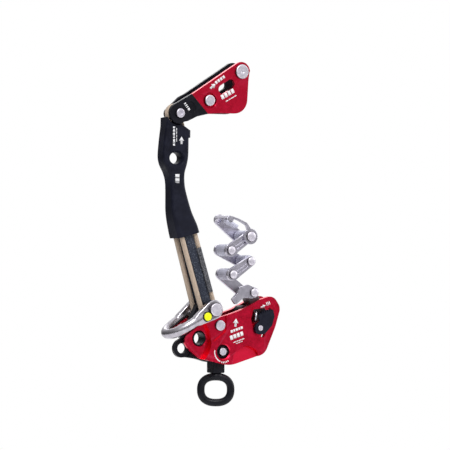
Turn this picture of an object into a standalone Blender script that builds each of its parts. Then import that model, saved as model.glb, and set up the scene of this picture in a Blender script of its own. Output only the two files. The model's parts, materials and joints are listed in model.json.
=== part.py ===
"""A rope ascender: a mechanical friction device with a chain of links above it, a shackle, a stiff
tether and an upper rope wrench.

The scene is in metres, +Z up. The numbers here are millimetres and MM turns them into metres.
Plates lie in the XZ plane and Y runs through them, with the front at -Y. The origin is on the
rope's line in the lower body, midway between its two cheeks. Points are (x, z) pairs.
"""

import math

import bpy
import bmesh
from mathutils import Matrix, Vector

MM = 0.001
GAP = 0.3  # between pieces that touch
FIT = 0.35  # radial play of a pin in its hole

# Lower body
CHEEK_IN, CHEEK_OUT = 7.5, 12.5
LOBE_IN, LOBE_OUT = 3.7, 6.4
SPINE_HALF = 3.4
RIVET = (-20.4, 12.2)
ADJUSTER = (-16.9, -14.0)
ATTACHMENT = (-41.2, -0.5)
EYELET = (-58.5, -10.0)
EYELET_HALF = 2.0
STEP_CENTRE, STEP_RADIUS = (-57.0, -2.5), 26.5
LATCH_PIVOT = (24.2, 8.8)
LEVER_AXLE = (32.5, 19.0)
UPPER_BOLLARD = (10.5, 26.0)
LOWER_BOLLARD = (14.5, -8.0)
SCOOP_SLOPE, SCOOP_FOOT_Z = 0.2, -27.0

# Swivel under the body, with its eye turned out of the plane of the plates
SWIVEL = (-18.8, 0.0)
SWIVEL_TOP, SWIVEL_BOTTOM = -21.5, -35.5
SWIVEL_TURN = math.radians(-30)
EYE_CENTRE_Z = -52.3
EYE_HALF_WIDTH, EYE_HALF_HEIGHT, EYE_ROD, EYE_FULLNESS = 14.9, 12.9, 3.6, 2.4

# Friction chain: joint points from the cap's free end down to the lever
CHAIN = ((-8.5, 117.0), (13.0, 100.5), (-8.4, 86.8), (14.6, 75.7), (-6.2, 62.7), (18.2, 44.3))
LINK_IN, LINK_OUT = 9.6, 12.8
FRONT_LINK_ENDS, REAR_LINK_ENDS = (5.0, 6.4), (5.8, 5.8)  # radii of a plate's upper and lower ends
BARREL_RADIUS = 6.0
LINK_PIN_RADIUS = 2.6
LINK_HEADS = (5.0, 4.4, 4.4, 4.4, 4.5)
CAP_IN, CAP_OUT = 13.1, 15.3

# Shackle
SHACKLE_PIN = (-32.0, 28.4)
SHACKLE_PIN_RADIUS = 4.9
SHACKLE_SLOPE = math.radians(210.5)
EAR_IN, EAR_OUT = 14.4, 21.6
BOW_REACH, BOW_HALF, LEG_START, BOW_FULLNESS = 47.0, 18.2, 16.6, 2.6
BUTTON = (-41.2, 21.6)
BUTTON_RADIUS = 4.15

# Tether
TETHER_SLOPE = math.radians(106.4)
LOOP_CENTRE, LOOP_HALF = 8.0, 2.9
LOOP_OUT, LOOP_IN = 9.9, 5.25
LOOP_LENGTH = 84.0
LOOP_LEAN = 2.2
MOUTH_Z, MOUTH_TILT = 98.7, 0.25
TETHER_SLOT = (-67.3, 178.0)
CORD_EYE_RADIUS, CORD_EYE_HALF = 9.9, 4.2

# Wrench
BOLT = (-66.2, 222.2)
WRENCH_RIVET = (-31.3, 235.6)
WRENCH_SCREW = (5.0, 265.2)
WRENCH_IN, WRENCH_OUT = 7.0, 10.6
WRENCH_SLOT = ((-17.0, 246.8), (-7.6, 252.6))
ARM_RADIUS, REAR_ARM_RADIUS = 10.4, 6.2
SADDLE_RADIUS = 11.7


# ---------------------------------------------------------------- outlines

def arc(centre, radius, start, end, step=18):
    """Points on a circle from one angle to the other, in degrees."""
    count = max(2, round(abs(end - start) / step) + 1)
    angles = (math.radians(start + (end - start) * i / (count - 1)) for i in range(count))
    return [(centre[0] + radius * math.cos(a), centre[1] + radius * math.sin(a)) for a in angles]


def disc(centre, radius, sides=20):
    return arc(centre, radius, 0, 360 - 360 / sides, 360 / sides)


def oval(centre, half_width, half_height, sides=24):
    turn = [2 * math.pi * i / sides for i in range(sides)]
    return [(centre[0] + half_width * math.cos(a), centre[1] + half_height * math.sin(a))
            for a in turn]


def strap(a, b, radius_a, radius_b, step=22.5):
    """Outline round two circles and their outer tangents."""
    along = Vector(b) - Vector(a)
    heading = math.degrees(math.atan2(along.y, along.x))
    lean = math.degrees(math.acos((radius_a - radius_b) / along.length))
    return (arc(a, radius_a, heading + lean, heading + 360 - lean, step)
            + arc(b, radius_b, heading - lean, heading + lean, step))


def rounded(corners, step=20):
    """Outline through (x, z, radius) corners, each turned by an arc tangent to its two sides."""
    points = []
    for i, (x, z, radius) in enumerate(corners):
        corner = Vector((x, z))
        before = (Vector(corners[i - 1][:2]) - corner).normalized()
        after = (Vector(corners[(i + 1) % len(corners)][:2]) - corner).normalized()
        half = before.angle(after) / 2
        if radius == 0 or half > math.radians(89):
            points.append((x, z))
            continue
        centre = corner + (before + after).normalized() * radius / math.sin(half)
        start = corner + before * radius / math.tan(half) - centre
        first = math.degrees(math.atan2(start.y, start.x))
        turn = 180 - 2 * math.degrees(half)
        sign = 1 if before.cross(after) < 0 else -1
        points += arc(centre, radius, first, first + sign * turn, step)
    return points


# ---------------------------------------------------------------- solids

def finish_mesh(name, bm):
    bmesh.ops.recalc_face_normals(bm, faces=bm.faces)
    mesh = bpy.data.meshes.new(name)
    bm.to_mesh(mesh)
    bm.free()
    obj = bpy.data.objects.new(name, mesh)
    bpy.context.scene.collection.objects.link(obj)
    return obj


def prism(name, outline, y0, y1, rim=0.0):
    """Outline carried from y0 to y1, with both rims chamfered."""
    bm = bmesh.new()
    rings = [[bm.verts.new(Vector((x, y, z)) * MM) for x, z in outline] for y in (y0, y1)]
    bm.faces.new(rings[0])
    bm.faces.new(rings[1])
    for i in range(len(outline)):
        bm.faces.new((rings[0][i - 1], rings[0][i], rings[1][i], rings[1][i - 1]))
    if rim:
        edges = [e for e in bm.edges if e.verts[0].co.y == e.verts[1].co.y]
        bmesh.ops.bevel(bm, geom=edges, offset=rim * MM, segments=1, affect="EDGES")
    return finish_mesh(name, bm)


def loft(name, rings):
    """Skin over rings of (x, y, z) points, closed at both ends."""
    bm = bmesh.new()
    made = [[bm.verts.new(Vector(p) * MM) for p in ring] for ring in rings]
    bm.faces.new(made[0])
    bm.faces.new(made[-1])
    for lower, upper in zip(made, made[1:]):
        for i in range(len(lower)):
            bm.faces.new((lower[i - 1], lower[i], upper[i], upper[i - 1]))
    return finish_mesh(name, bm)


def turned(name, centre, profile, sides=20, axis="Y"):
    """Profile of (radius, along) pairs turned about an axis through the centre."""
    rings = []
    for radius, along in profile:
        circle = disc(centre, radius, sides)
        rings.append([(u, along, v) if axis == "Y" else (u, v, along) for u, v in circle])
    return loft(name, rings)


def rod(name, centre, radius, y0, y1, rim=0.3, sides=20):
    profile = ((radius - rim, y0), (radius, y0 + rim), (radius, y1 - rim), (radius - rim, y1))
    return turned(name, centre, profile, sides)


def box(name, low, high, rim=0.0):
    bm = bmesh.new()
    bmesh.ops.create_cube(bm, size=1.0)
    for vert in bm.verts:
        vert.co = Vector([(low[i] + (vert.co[i] + 0.5) * (high[i] - low[i])) * MM
                          for i in range(3)])
    if rim:
        bmesh.ops.bevel(bm, geom=bm.edges[:], offset=rim * MM, segments=1, affect="EDGES")
    return finish_mesh(name, bm)


def sweep(name, path, normal, across, through, sides=12, closed=False):
    """An oval section carried along a flat path: `across` in the path's plane and `through` along
    its normal."""
    path = [Vector(p) for p in path]
    normal = Vector(normal).normalized()
    rings = []
    for i, point in enumerate(path):
        before = path[i - 1] if closed or i else point
        after = path[(i + 1) % len(path)] if closed or i < len(path) - 1 else point
        side = (after - before).normalized().cross(normal)
        turn = [2 * math.pi * k / sides for k in range(sides)]
        rings.append([point + side * across * math.cos(a) + normal * through * math.sin(a)
                      for a in turn])
    if not closed:
        return loft(name, rings)
    bm = bmesh.new()
    made = [[bm.verts.new(p * MM) for p in ring] for ring in rings]
    for k, ring in enumerate(made):
        for i in range(sides):
            bm.faces.new((made[k - 1][i - 1], made[k - 1][i], ring[i], ring[i - 1]))
    return finish_mesh(name, bm)


def boolean(target, other, operation):
    modifier = target.modifiers.new(operation, "BOOLEAN")
    modifier.operation = operation
    modifier.object = other
    bpy.context.view_layer.update()
    graph = bpy.context.evaluated_depsgraph_get()
    target.data = bpy.data.meshes.new_from_object(target.evaluated_get(graph))
    target.modifiers.clear()
    bpy.data.objects.remove(other)
    return target


def cut(target, *others):
    for other in others:
        boolean(target, other, "DIFFERENCE")
    return target


def join(target, *others):
    for other in others:
        boolean(target, other, "UNION")
    return target


def hole(target, centre, radius, y0=-30.0, y1=30.0, sides=16):
    return cut(target, prism("hole", disc(centre, radius, sides), y0, y1))


# ---------------------------------------------------------------- materials

FINISHES = {  # colour, metallic, roughness
    "red_anodised": ((0.53, 0.005, 0.025), 0.85, 0.3),
    "black_anodised": ((0.012, 0.013, 0.018), 0.5, 0.4),
    "bright_steel": ((0.72, 0.72, 0.75), 1.0, 0.22),
    "cast_steel": ((0.55, 0.55, 0.6), 1.0, 0.38),
    "black_plastic": ((0.014, 0.015, 0.02), 0.0, 0.45),
    "tan_cord": ((0.5, 0.38, 0.25), 0.0, 0.85),
    "black_webbing": ((0.012, 0.014, 0.022), 0.0, 0.8),
    "yellow_plastic": ((0.8, 0.86, 0.0), 0.0, 0.4),
}


def material(name):
    made = bpy.data.materials.get(name)
    if made is None:
        made = bpy.data.materials.new(name)
        made.use_nodes = True
        colour, metallic, roughness = FINISHES[name]
        shader = made.node_tree.nodes["Principled BSDF"]
        shader.inputs["Base Color"].default_value = (*colour, 1)
        shader.inputs["Metallic"].default_value = metallic
        shader.inputs["Roughness"].default_value = roughness
    return made


def place(obj, finish, pivot):
    """Gives a finished piece its material and smooth shading, and hangs it on its joint's empty."""
    obj.data.materials.clear()
    obj.data.materials.append(material(finish))
    obj.data.shade_smooth()
    obj.data.set_sharp_from_angle(angle=math.radians(32))
    if pivot:
        obj.parent = pivot
        obj.matrix_parent_inverse = pivot.matrix_world.inverted()
    return obj


def pivot(name, point, y=0.0, parent=None):
    made = bpy.data.objects.new(name, None)
    made.empty_display_size = 0.01
    bpy.context.scene.collection.objects.link(made)
    made.location = Vector((point[0], y, point[1])) * MM
    bpy.context.view_layer.update()
    if parent:
        made.parent = parent
        made.matrix_parent_inverse = parent.matrix_world.inverted()
        bpy.context.view_layer.update()
    return made


# ---------------------------------------------------------------- lower body

def cheek_outline(side):
    left = (((-61.0, -0.5, 7.5), (-53.0, -11.5, 12)) if side < 0
            else ((-54.4, -0.5, 7.5), (-48.6, -14.5, 9)))
    return rounded((
        *left, (-42.0, -20.4, 20), (-10.0, -28.2, 30), (31.0, -17.2, 13), (43.3, 10.0, 30),
        (49.3, 29.0, 9), (40.5, 41.5, 9), (24.0, 36.8, 25), (3.0, 27.0, 60), (-36.5, 15.5, 14),
    ), step=12)


def cheek(name, side):
    """One cheek: a thick plate with a thin lobe, stepped inwards, round the attachment hole. side is
    -1 in front, where the lobe is longer."""
    made = prism(name, cheek_outline(side), *sorted((side * LOBE_IN, side * CHEEK_OUT)), rim=0.9)
    outside = sorted((side * LOBE_OUT, side * (CHEEK_OUT + 10)))
    cut(made, prism("step", disc(STEP_CENTRE, STEP_RADIUS, 40), *outside))
    inside = sorted((side * (LOBE_IN - 2), side * CHEEK_IN))
    hollow = prism("hollow", [(-100, -100), (100, -100), (100, 100), (-100, 100)], *inside)
    cut(hollow, prism("kept", disc(STEP_CENTRE, STEP_RADIUS + 3.5, 40), -30, 30))
    cut(made, hollow)
    hole(made, RIVET, 3.0 + FIT)
    return hole(made, ATTACHMENT, 7.5)


def front_cheek():
    """Front cheek, with the rivet's pocket, the adjuster's recess, the latch's window and a scoop."""
    made = cheek("front_cheek", -1)
    face = -CHEEK_OUT
    pocket = rounded(((-13.4, 34, 0), (-13.4, 6.5, 6), (-27.5, -3.5, 2), (-45, -3.5, 0),
                      (-45, 34, 0)))
    cut(made, prism("pocket", pocket, face - 2, face + 1.5))
    cut(made, prism("recess", disc(ADJUSTER, 7.3, 32), face - 2, face + 3.4))
    window = rounded(((17.5, 27.5, 2), (38.4, 29.5, 3), (38.6, 20.0, 6), (30.0, -0.8, 2),
                      (19.0, 0.6, 5), (14.8, 18.0, 5)))
    cut(made, prism("window", window, -30, 0))
    tab = prism("tab", strap(LATCH_PIVOT, (19.5, -2.0), 4.6, 5.0), -CHEEK_IN - 2.4, -CHEEK_IN, rim=0.4)
    join(made, tab)
    hole(made, LATCH_PIVOT, 1.6 + FIT, sides=16)
    outline = rounded(((-8, -40, 0), (25, -40, 0), (22.5, -14, 9), (9.5, -8.5, 8), (-5.5, -17, 8)))
    scoop = prism("scoop", outline, -9, 0)
    tilt = Matrix.Rotation(-math.atan(SCOOP_SLOPE), 4, "X")
    scoop.data.transform(Matrix.Translation((0, (face - SCOOP_SLOPE * SCOOP_FOOT_Z) * MM, 0)) @ tilt)
    cut(made, scoop)
    return made


def spine_outline():
    return (arc(SHACKLE_PIN, 10.6, 0, 152, 14)
            + [(-51.8, 12.5), (-54.2, 5.0), (-58.8, 0.2)]
            + arc(EYELET, 9.2, 112, 262, 14)
            + [(-55.0, -19.0), (-50.0, -18.6), (-42.4, -20.8), (-32.0, -24.0), (-27.8, -24.6)]
            + [(-27.4, SWIVEL_TOP + 1), (-6.4, SWIVEL_TOP + 1), (-12.8, 19.0), (-21.4, 21.0)])


def spine_plate():
    made = prism("spine_plate", spine_outline(), -SPINE_HALF, SPINE_HALF, rim=1.0)
    block = rounded(((-12.6, 20.0, 2), (-24.5, 17.0, 4), (-27.0, 0, 4),
                     (-24.5, SWIVEL_TOP + GAP, 0), (-6.4, SWIVEL_TOP + GAP, 0)))
    half = CHEEK_IN - GAP
    join(made, prism("block", block, -half, half, rim=0.5))
    hole(made, SHACKLE_PIN, SHACKLE_PIN_RADIUS + FIT)
    hole(made, ATTACHMENT, 7.5)
    for side in (-1, 1):
        cut(made, prism("thin", disc(EYELET, 10.4, 32), *sorted((side * EYELET_HALF, side * 10))))
    hole(made, EYELET, 5.1)
    hole(made, RIVET, 3.0 + FIT)
    return made


def rear_cheek():
    made = cheek("rear_cheek", 1)
    hole(made, LEVER_AXLE, 3.0 + FIT)
    for centre in (UPPER_BOLLARD, LOWER_BOLLARD):
        hole(made, centre, 2.2 + FIT, sides=16)
    return made


def cheek_rivet():
    """Headed at both ends; the front head sits in the cheek's pocket."""
    face = CHEEK_OUT
    return turned("cheek_rivet", RIVET, (
        (4.6, -face - 0.9), (5.4, -face - 0.2), (5.4, -face + 1.2), (3.0, -face + 1.2),
        (3.0, face + GAP), (5.2, face + GAP), (5.2, face + 1.3), (4.4, face + 2.0)))


def attachment_bush(name, y0, y1):
    """Black liner of the attachment hole in one of the three plates."""
    return hole(rod(name, ATTACHMENT, 7.2, y0, y1, 0.4), ATTACHMENT, 6.2)


def bollard(name, centre):
    """A round post between the cheeks on a spigot in the rear one."""
    half = CHEEK_IN - GAP
    profile = ((4.9, -half), (5.4, -half + 0.5), (5.4, half - 0.5), (4.9, half),
               (2.2, half), (2.2, CHEEK_OUT + 0.4))
    return turned(name, centre, profile, 16)


def lever_axle():
    front, back = -CHEEK_IN + GAP, CHEEK_OUT + GAP
    profile = ((2.6, front), (3.0, front + 0.4), (3.0, back),
               (5.0, back), (5.0, back + 1.3), (4.4, back + 1.8))
    return turned("lever_axle", LEVER_AXLE, profile, 24)


def latch():
    """Thumb latch in front of the cheek, with a hub that reaches into the window."""
    outline = rounded(((17.6, 2.4, 5), (18.8, 12.2, 3), (23.4, 15.6, 2), (22.0, 21.5, 1.5),
                       (29.0, 26.6, 3), (39.2, 27.4, 2), (40.6, 20.0, 3), (37.6, 11.0, 5),
                       (29.0, 2.6, 5)), step=18)
    made = prism("latch", outline, -CHEEK_OUT - 2.9, -CHEEK_OUT - GAP, rim=0.8)
    hub = rod("hub", LATCH_PIVOT, 4.4, -CHEEK_OUT - 1.5, -CHEEK_IN - 2.4 - GAP, sides=24)
    join(made, hub)
    hole(made, LATCH_PIVOT, 3.2, -30, -CHEEK_OUT - 1.6, 20)
    return hole(made, LATCH_PIVOT, 1.6 + FIT, sides=16)


def latch_screw():
    top = -CHEEK_OUT - 1.6 - GAP
    return turned("latch_screw", LATCH_PIVOT, (
        (2.3, top - 1.6), (2.9, top - 1.1), (2.9, top), (1.6, top), (1.6, -CHEEK_IN - 0.4)))


def adjuster_pin():
    """Turning pin in the front cheek's recess, with a small index tooth."""
    floor = -CHEEK_OUT + 3.4 - GAP
    made = turned("adjuster_pin", ADJUSTER, ((3.4, floor - 2.7), (4.0, floor - 2.1), (4.0, floor)), 24)
    tooth = box("tooth", (ADJUSTER[0] + 3.0, floor - 1.4, ADJUSTER[1] - 0.8),
                (ADJUSTER[0] + 5.8, floor - 0.2, ADJUSTER[1] + 0.8))
    return join(made, tooth)


def lower_body(root):
    for made, finish in (
        (spine_plate(), "black_anodised"),
        (rear_cheek(), "red_anodised"),
        (cheek_rivet(), "bright_steel"),
        (attachment_bush("spine_bush", -SPINE_HALF, SPINE_HALF), "black_anodised"),
        (attachment_bush("rear_bush", LOBE_IN, LOBE_OUT + 0.3), "black_anodised"),
        (bollard("upper_bollard", UPPER_BOLLARD), "black_anodised"),
        (bollard("lower_bollard", LOWER_BOLLARD), "black_anodised"),
        (lever_axle(), "bright_steel"),
        (swivel_housing(), "black_anodised"),
        (swivel_pin(), "bright_steel"),
    ):
        place(made, finish, root)
    gate = pivot("front_cheek_pivot", RIVET, parent=root)
    place(front_cheek(), "red_anodised", gate)
    front_bush = attachment_bush("front_bush", -LOBE_OUT - 0.3, -LOBE_IN)
    place(front_bush, "black_anodised", gate)
    place(adjuster_pin(), "bright_steel", pivot("adjuster_pivot", ADJUSTER, -CHEEK_OUT, gate))
    thumb = pivot("latch_pivot", LATCH_PIVOT, -CHEEK_OUT, gate)
    place(latch(), "black_plastic", thumb)
    place(latch_screw(), "bright_steel", gate)


# ---------------------------------------------------------------- swivel

def swivel_housing():
    half_x, half_y = 6.5, 7.15
    made = box("swivel_housing", (SWIVEL[0] - half_x, -half_y, SWIVEL_BOTTOM),
               (SWIVEL[0] + half_x, half_y, SWIVEL_TOP), rim=0.8)
    cut(made, turned("bore", SWIVEL, ((3.4, SWIVEL_BOTTOM - 5), (3.4, SWIVEL_TOP - 2)), 24, "Z"))
    return cut(made, cross_rod("pin_hole", 9.0, 1.35))


def cross_rod(name, half_length, radius):
    """Rod through the swivel's housing from side to side, behind its bore."""
    ends = [(SWIVEL[0] + reach, 5.0, -31.3) for reach in (-half_length, half_length)]
    return sweep(name, ends, (0, 0, 1), radius, radius)


def swivel_pin():
    return cross_rod("swivel_pin", 6.9, 1.1)


def squared(value, fullness):
    """Swells a sine or cosine, so that an oval drawn with it has fuller corners. A fullness of 2
    leaves it round."""
    return math.copysign(abs(value) ** (2 / fullness), value)


def swivel_eye():
    """Ring on a stem that turns in the housing."""
    ahead = Vector((math.cos(SWIVEL_TURN), math.sin(SWIVEL_TURN), 0))
    centre = Vector((SWIVEL[0], SWIVEL[1], EYE_CENTRE_Z))
    turn = [2 * math.pi * i / 30 for i in range(30)]
    up = Vector((0, 0, 1))
    path = [centre + ahead * EYE_HALF_WIDTH * squared(math.cos(a), EYE_FULLNESS)
            + up * EYE_HALF_HEIGHT * squared(math.sin(a), EYE_FULLNESS) for a in turn]
    made = sweep("swivel_eye", path, ahead.cross(up), EYE_ROD, EYE_ROD, 10, closed=True)
    top = SWIVEL_BOTTOM - GAP
    profile = ((3.0, top + 10.5), (3.0, top), (5.6, top), (6.6, top - 1.2), (7.2, top - 3.4),
               (5.6, top - 6.6))
    return join(made, turned("stem", SWIVEL, profile, 16, "Z"))


# ---------------------------------------------------------------- friction chain

def link_plate(name, a, b, side):
    """Plate between two joints of the chain, with a long shallow groove in its outer face."""
    y = sorted((side * LINK_IN, side * LINK_OUT))
    made = prism(name, strap(a, b, *(FRONT_LINK_ENDS if side < 0 else REAR_LINK_ENDS)), *y, rim=0.7)
    along = Vector(b) - Vector(a)
    outer = sorted((side * (LINK_OUT - 0.9), side * (LINK_OUT + 2)))
    groove = strap(Vector(a) + along * 0.36, Vector(a) + along * 0.64, 2.0, 2.0, 30)
    cut(made, prism("groove", groove, *outer))
    for centre in (a, b):
        hole(made, centre, LINK_PIN_RADIUS + FIT)
    return made


def barrel(name, centre):
    """Cross barrel between the plates, on the pin."""
    half = LINK_IN - GAP
    made = rod(name, centre, BARREL_RADIUS, -half, half, 0.5, 18)
    return hole(made, centre, LINK_PIN_RADIUS + FIT, sides=12)


def link_pin(name, centre, head, front):
    """Pin through both plates, with a domed head on the face at `front` and a flat one behind."""
    back = LINK_OUT + GAP
    dome = [(head * math.cos(math.radians(a)), front - 0.7 - 2.2 * math.sin(math.radians(a)))
            for a in (70, 38, 0)]
    shank = ((head, front), (LINK_PIN_RADIUS, front), (LINK_PIN_RADIUS, back))
    tail = ((3.9, back), (3.9, back + 0.7), (3.3, back + 1.2))
    return turned(name, centre, (*dome, *shank, *tail), 16)


def lever_arm():
    half = CHEEK_IN - 2 * GAP
    made = prism("lever_arm", strap(LEVER_AXLE, CHAIN[5], 6.8, 5.6), -half, half, rim=0.8)
    hole(made, LEVER_AXLE, 3.0 + FIT)
    return hole(made, CHAIN[5], LINK_PIN_RADIUS + FIT)


def lever_leaf():
    """Front leaf of the lever: a paddle that keeps the rope in, down to the left of the last joint."""
    outline = (arc(CHAIN[5], 5.4, -110, 62)
               + rounded(((20.7, 49.1, 0), (11.0, 52.5, 3), (1.8, 50.0, 2), (-0.8, 44.0, 3), (-7.6, 38.0, 1.6),
                          (-3.0, 32.4, 1.6), (5.9, 39.2, 3), (16.4, 39.2, 0)))[1:-1])
    made = prism("lever_leaf", outline, -LINK_OUT, -LINK_IN, rim=0.6)
    return hole(made, CHAIN[5], LINK_PIN_RADIUS + FIT)


def chain_cap():
    """Top of the chain: a rear plate, a post at its free end, and in front a bar, a thin rail and an
    ear."""
    left, right = CHAIN[0], CHAIN[1]
    made = prism("chain_cap", strap(left, right, 5.6, 6.4), LINK_IN, LINK_OUT, rim=0.7)
    post = rounded(((-15.6, 118.0, 2), (-11.6, 121.6, 1), (-5.0, 120.0, 1), (-9.5, 112.5, 3)))
    bar = rounded(((-13.6, 118.4, 0.6), (-15.6, 115.0, 0.6), (-3.2, 108.2, 0.6), (-1.2, 111.6, 0.6)))
    rail = rounded(((-12.5, 121.4, 0), (-12.0, 119.6, 0), (-2.0, 116.6, 6), (7.0, 111.8, 3),
                    (9.4, 106.0, 0), (14.0, 107.6, 0), (8.6, 114.4, 4), (-2.0, 119.0, 8)))
    join(made, prism("post", post, -CAP_OUT, LINK_IN + 1.0, rim=0.5),
         prism("bar", bar, -CAP_OUT, -LINK_IN + 0.4, rim=0.5),
         prism("ear", disc(right, 7.9, 30), -CAP_OUT, -CAP_IN, rim=0.5),
         prism("rail", rail, -CAP_OUT, -CAP_IN))
    return hole(made, right, LINK_PIN_RADIUS + FIT)


def friction_chain(root):
    """The lever, then four links and the cap, each hung on the one below it."""
    holder = pivot("lever_pivot", LEVER_AXLE, parent=root)
    place(lever_arm(), "cast_steel", holder)
    place(lever_leaf(), "cast_steel", holder)
    last = link_pin("link_pin_5", CHAIN[5], LINK_HEADS[4], -LINK_OUT - GAP)
    place(last, "bright_steel", holder)
    for number in (4, 3, 2, 1):
        upper, lower = CHAIN[number], CHAIN[number + 1]
        holder = pivot(f"link_{number}_pivot", lower, parent=holder)
        side = 1 if number % 2 == 0 else -1
        place(link_plate(f"link_plate_{number}", upper, lower, side), "cast_steel", holder)
        place(barrel(f"link_barrel_{number}", upper), "cast_steel", holder)
        face = (-LINK_OUT if number > 1 else -CAP_OUT) - GAP
        pin = link_pin(f"link_pin_{number}", upper, LINK_HEADS[number - 1], face)
        place(pin, "bright_steel", holder)
    place(chain_cap(), "cast_steel", pivot("cap_pivot", CHAIN[1], parent=holder))


# ---------------------------------------------------------------- shackle

def shackle_point(reach, y):
    return (SHACKLE_PIN[0] + reach * math.cos(SHACKLE_SLOPE), y,
            SHACKLE_PIN[1] + reach * math.sin(SHACKLE_SLOPE))


def shackle_bow():
    """Round bow between two ears; the front ear holds the lock button."""
    root_reach = 11.0
    angles = [math.radians(-90 + 9 * i) for i in range(21)]
    path = [shackle_point(root_reach + (BOW_REACH - root_reach) * squared(math.cos(a), BOW_FULLNESS),
                          BOW_HALF * squared(math.sin(a), BOW_FULLNESS)) for a in angles]
    path = [shackle_point(4.0, -LEG_START), *path, shackle_point(4.0, LEG_START)]
    normal = Vector((math.cos(SHACKLE_SLOPE), 0, math.sin(SHACKLE_SLOPE))).cross(Vector((0, 1, 0)))
    made = sweep("shackle_bow", path, normal, 4.2, 4.7, 12)
    end = shackle_point(20.0, 0)
    for y0, y1 in ((-EAR_OUT, -EAR_IN), (EAR_IN, EAR_OUT)):
        join(made, prism("ear", strap(SHACKLE_PIN, (end[0], end[2]), 9.7, 5.6), y0, y1, rim=1.2))
    hole(made, SHACKLE_PIN, SHACKLE_PIN_RADIUS + FIT)
    return hole(made, BUTTON, 4.95, -EAR_OUT - 3, -EAR_OUT + 3.6, 20)


def shackle_pin():
    radius = SHACKLE_PIN_RADIUS
    return turned("shackle_pin", SHACKLE_PIN, (
        (5.8, -EAR_OUT - 3.9), (6.6, -EAR_OUT - 3.1), (6.6, -EAR_OUT - GAP),
        (radius, -EAR_OUT - GAP), (radius, EAR_OUT + 0.3), (radius - 0.6, EAR_OUT + 0.9)))


def shackle_button():
    return turned("shackle_button", BUTTON, (
        (BUTTON_RADIUS - 0.6, -EAR_OUT - 3.1), (BUTTON_RADIUS, -EAR_OUT - 2.6),
        (BUTTON_RADIUS, -EAR_OUT + 1.6)))


def button_ring():
    y0, y1 = -EAR_OUT - 2.2, -EAR_OUT + 3.3
    ring = rod("button_ring", BUTTON, 4.75, y0, y1, 0.1)
    return hole(ring, BUTTON, BUTTON_RADIUS + 0.15, sides=20)


def shackle(root):
    holder = pivot("shackle_pivot", SHACKLE_PIN, parent=root)
    place(shackle_bow(), "bright_steel", holder)
    place(shackle_pin(), "bright_steel", holder)
    place(button_ring(), "black_anodised", holder)
    place(shackle_button(), "yellow_plastic", pivot("button_pivot", BUTTON, -EAR_OUT, holder))


# ---------------------------------------------------------------- tether

def beside(along, across):
    """Point at a distance along the tether's lower legs from the shackle pin, and to the right of
    their middle."""
    c, s = math.cos(TETHER_SLOPE), math.sin(TETHER_SLOPE)
    return (SHACKLE_PIN[0] + along * c + across * s, SHACKLE_PIN[1] + along * s - across * c)


def lean(obj, side):
    """Slopes a lower loop's piece towards the middle of the tether as it rises."""
    for vert in obj.data.vertices:
        rise = (vert.co.z / MM - SHACKLE_PIN[1]) / math.sin(TETHER_SLOPE)
        vert.co.y -= side * LOOP_LEAN * rise / LOOP_LENGTH * MM
    return obj


def loop_outline(radius, length):
    slope = math.degrees(TETHER_SLOPE)
    return (arc(SHACKLE_PIN, radius, slope + 90, slope + 270)
            + [beside(length, radius), beside(length, -radius)])


def loop_solid(name, side, radius, half, length):
    centre = side * LOOP_CENTRE
    return prism(name, loop_outline(radius, length), centre - half, centre + half)


def tether_loop(name, side):
    """Cord loop round the shackle pin: two strands that run up into the housing."""
    made = loop_solid(name, side, LOOP_OUT, LOOP_HALF, LOOP_LENGTH)
    cut(made, loop_solid("inside", side, LOOP_IN, LOOP_HALF + 2, LOOP_LENGTH + 5))
    return lean(made, side)


def loop_core(name, side):
    """Webbing sewn between the two strands of a loop."""
    half = LOOP_IN - GAP
    outline = [beside(7.0, -half), beside(7.0, half),
               beside(LOOP_LENGTH, half), beside(LOOP_LENGTH, -half)]
    return lean(prism(name, outline, side * LOOP_CENTRE - 2, side * LOOP_CENTRE + 2), side)


def tether_label():
    """Cloth label on the outer face of the front loop's right strand."""
    inner, outer = LOOP_IN - 1.8, LOOP_OUT - 1.4
    outline = [beside(16, inner), beside(16, outer), beside(62, outer), beside(62, inner)]
    face = -LOOP_CENTRE - LOOP_HALF - GAP
    return lean(prism("tether_label", outline, face - 0.7, face), -1)


def tether_eye():
    """Cord eye round the wrench bolt, with its two ends down inside the housing."""
    outline = arc(BOLT, CORD_EYE_RADIUS, -12, 196)
    outline += [(-73.2, 216.0), (-73.0, 204.0), (-57.0, 204.0), (-56.1, 213.0)]
    made = prism("tether_eye", outline, -CORD_EYE_HALF, CORD_EYE_HALF, rim=1.0)
    return hole(made, BOLT, 4.6 + FIT)


def housing_ring(z, left, right, half, tilt=0.0):
    """Rounded rectangle at one height of the housing, rising by `tilt` to its right."""
    radius = min(4.0, (right - left) / 2 - 0.2)
    corners = ((right - radius, half - radius, 0), (left + radius, half - radius, 90),
               (left + radius, radius - half, 180), (right - radius, radius - half, 270))
    flat = [point for x, y, start in corners
            for point in arc((x, y), radius, start, start + 90, 30)]
    return [(x, y, z + (x - left) * tilt) for x, y in flat]


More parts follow.
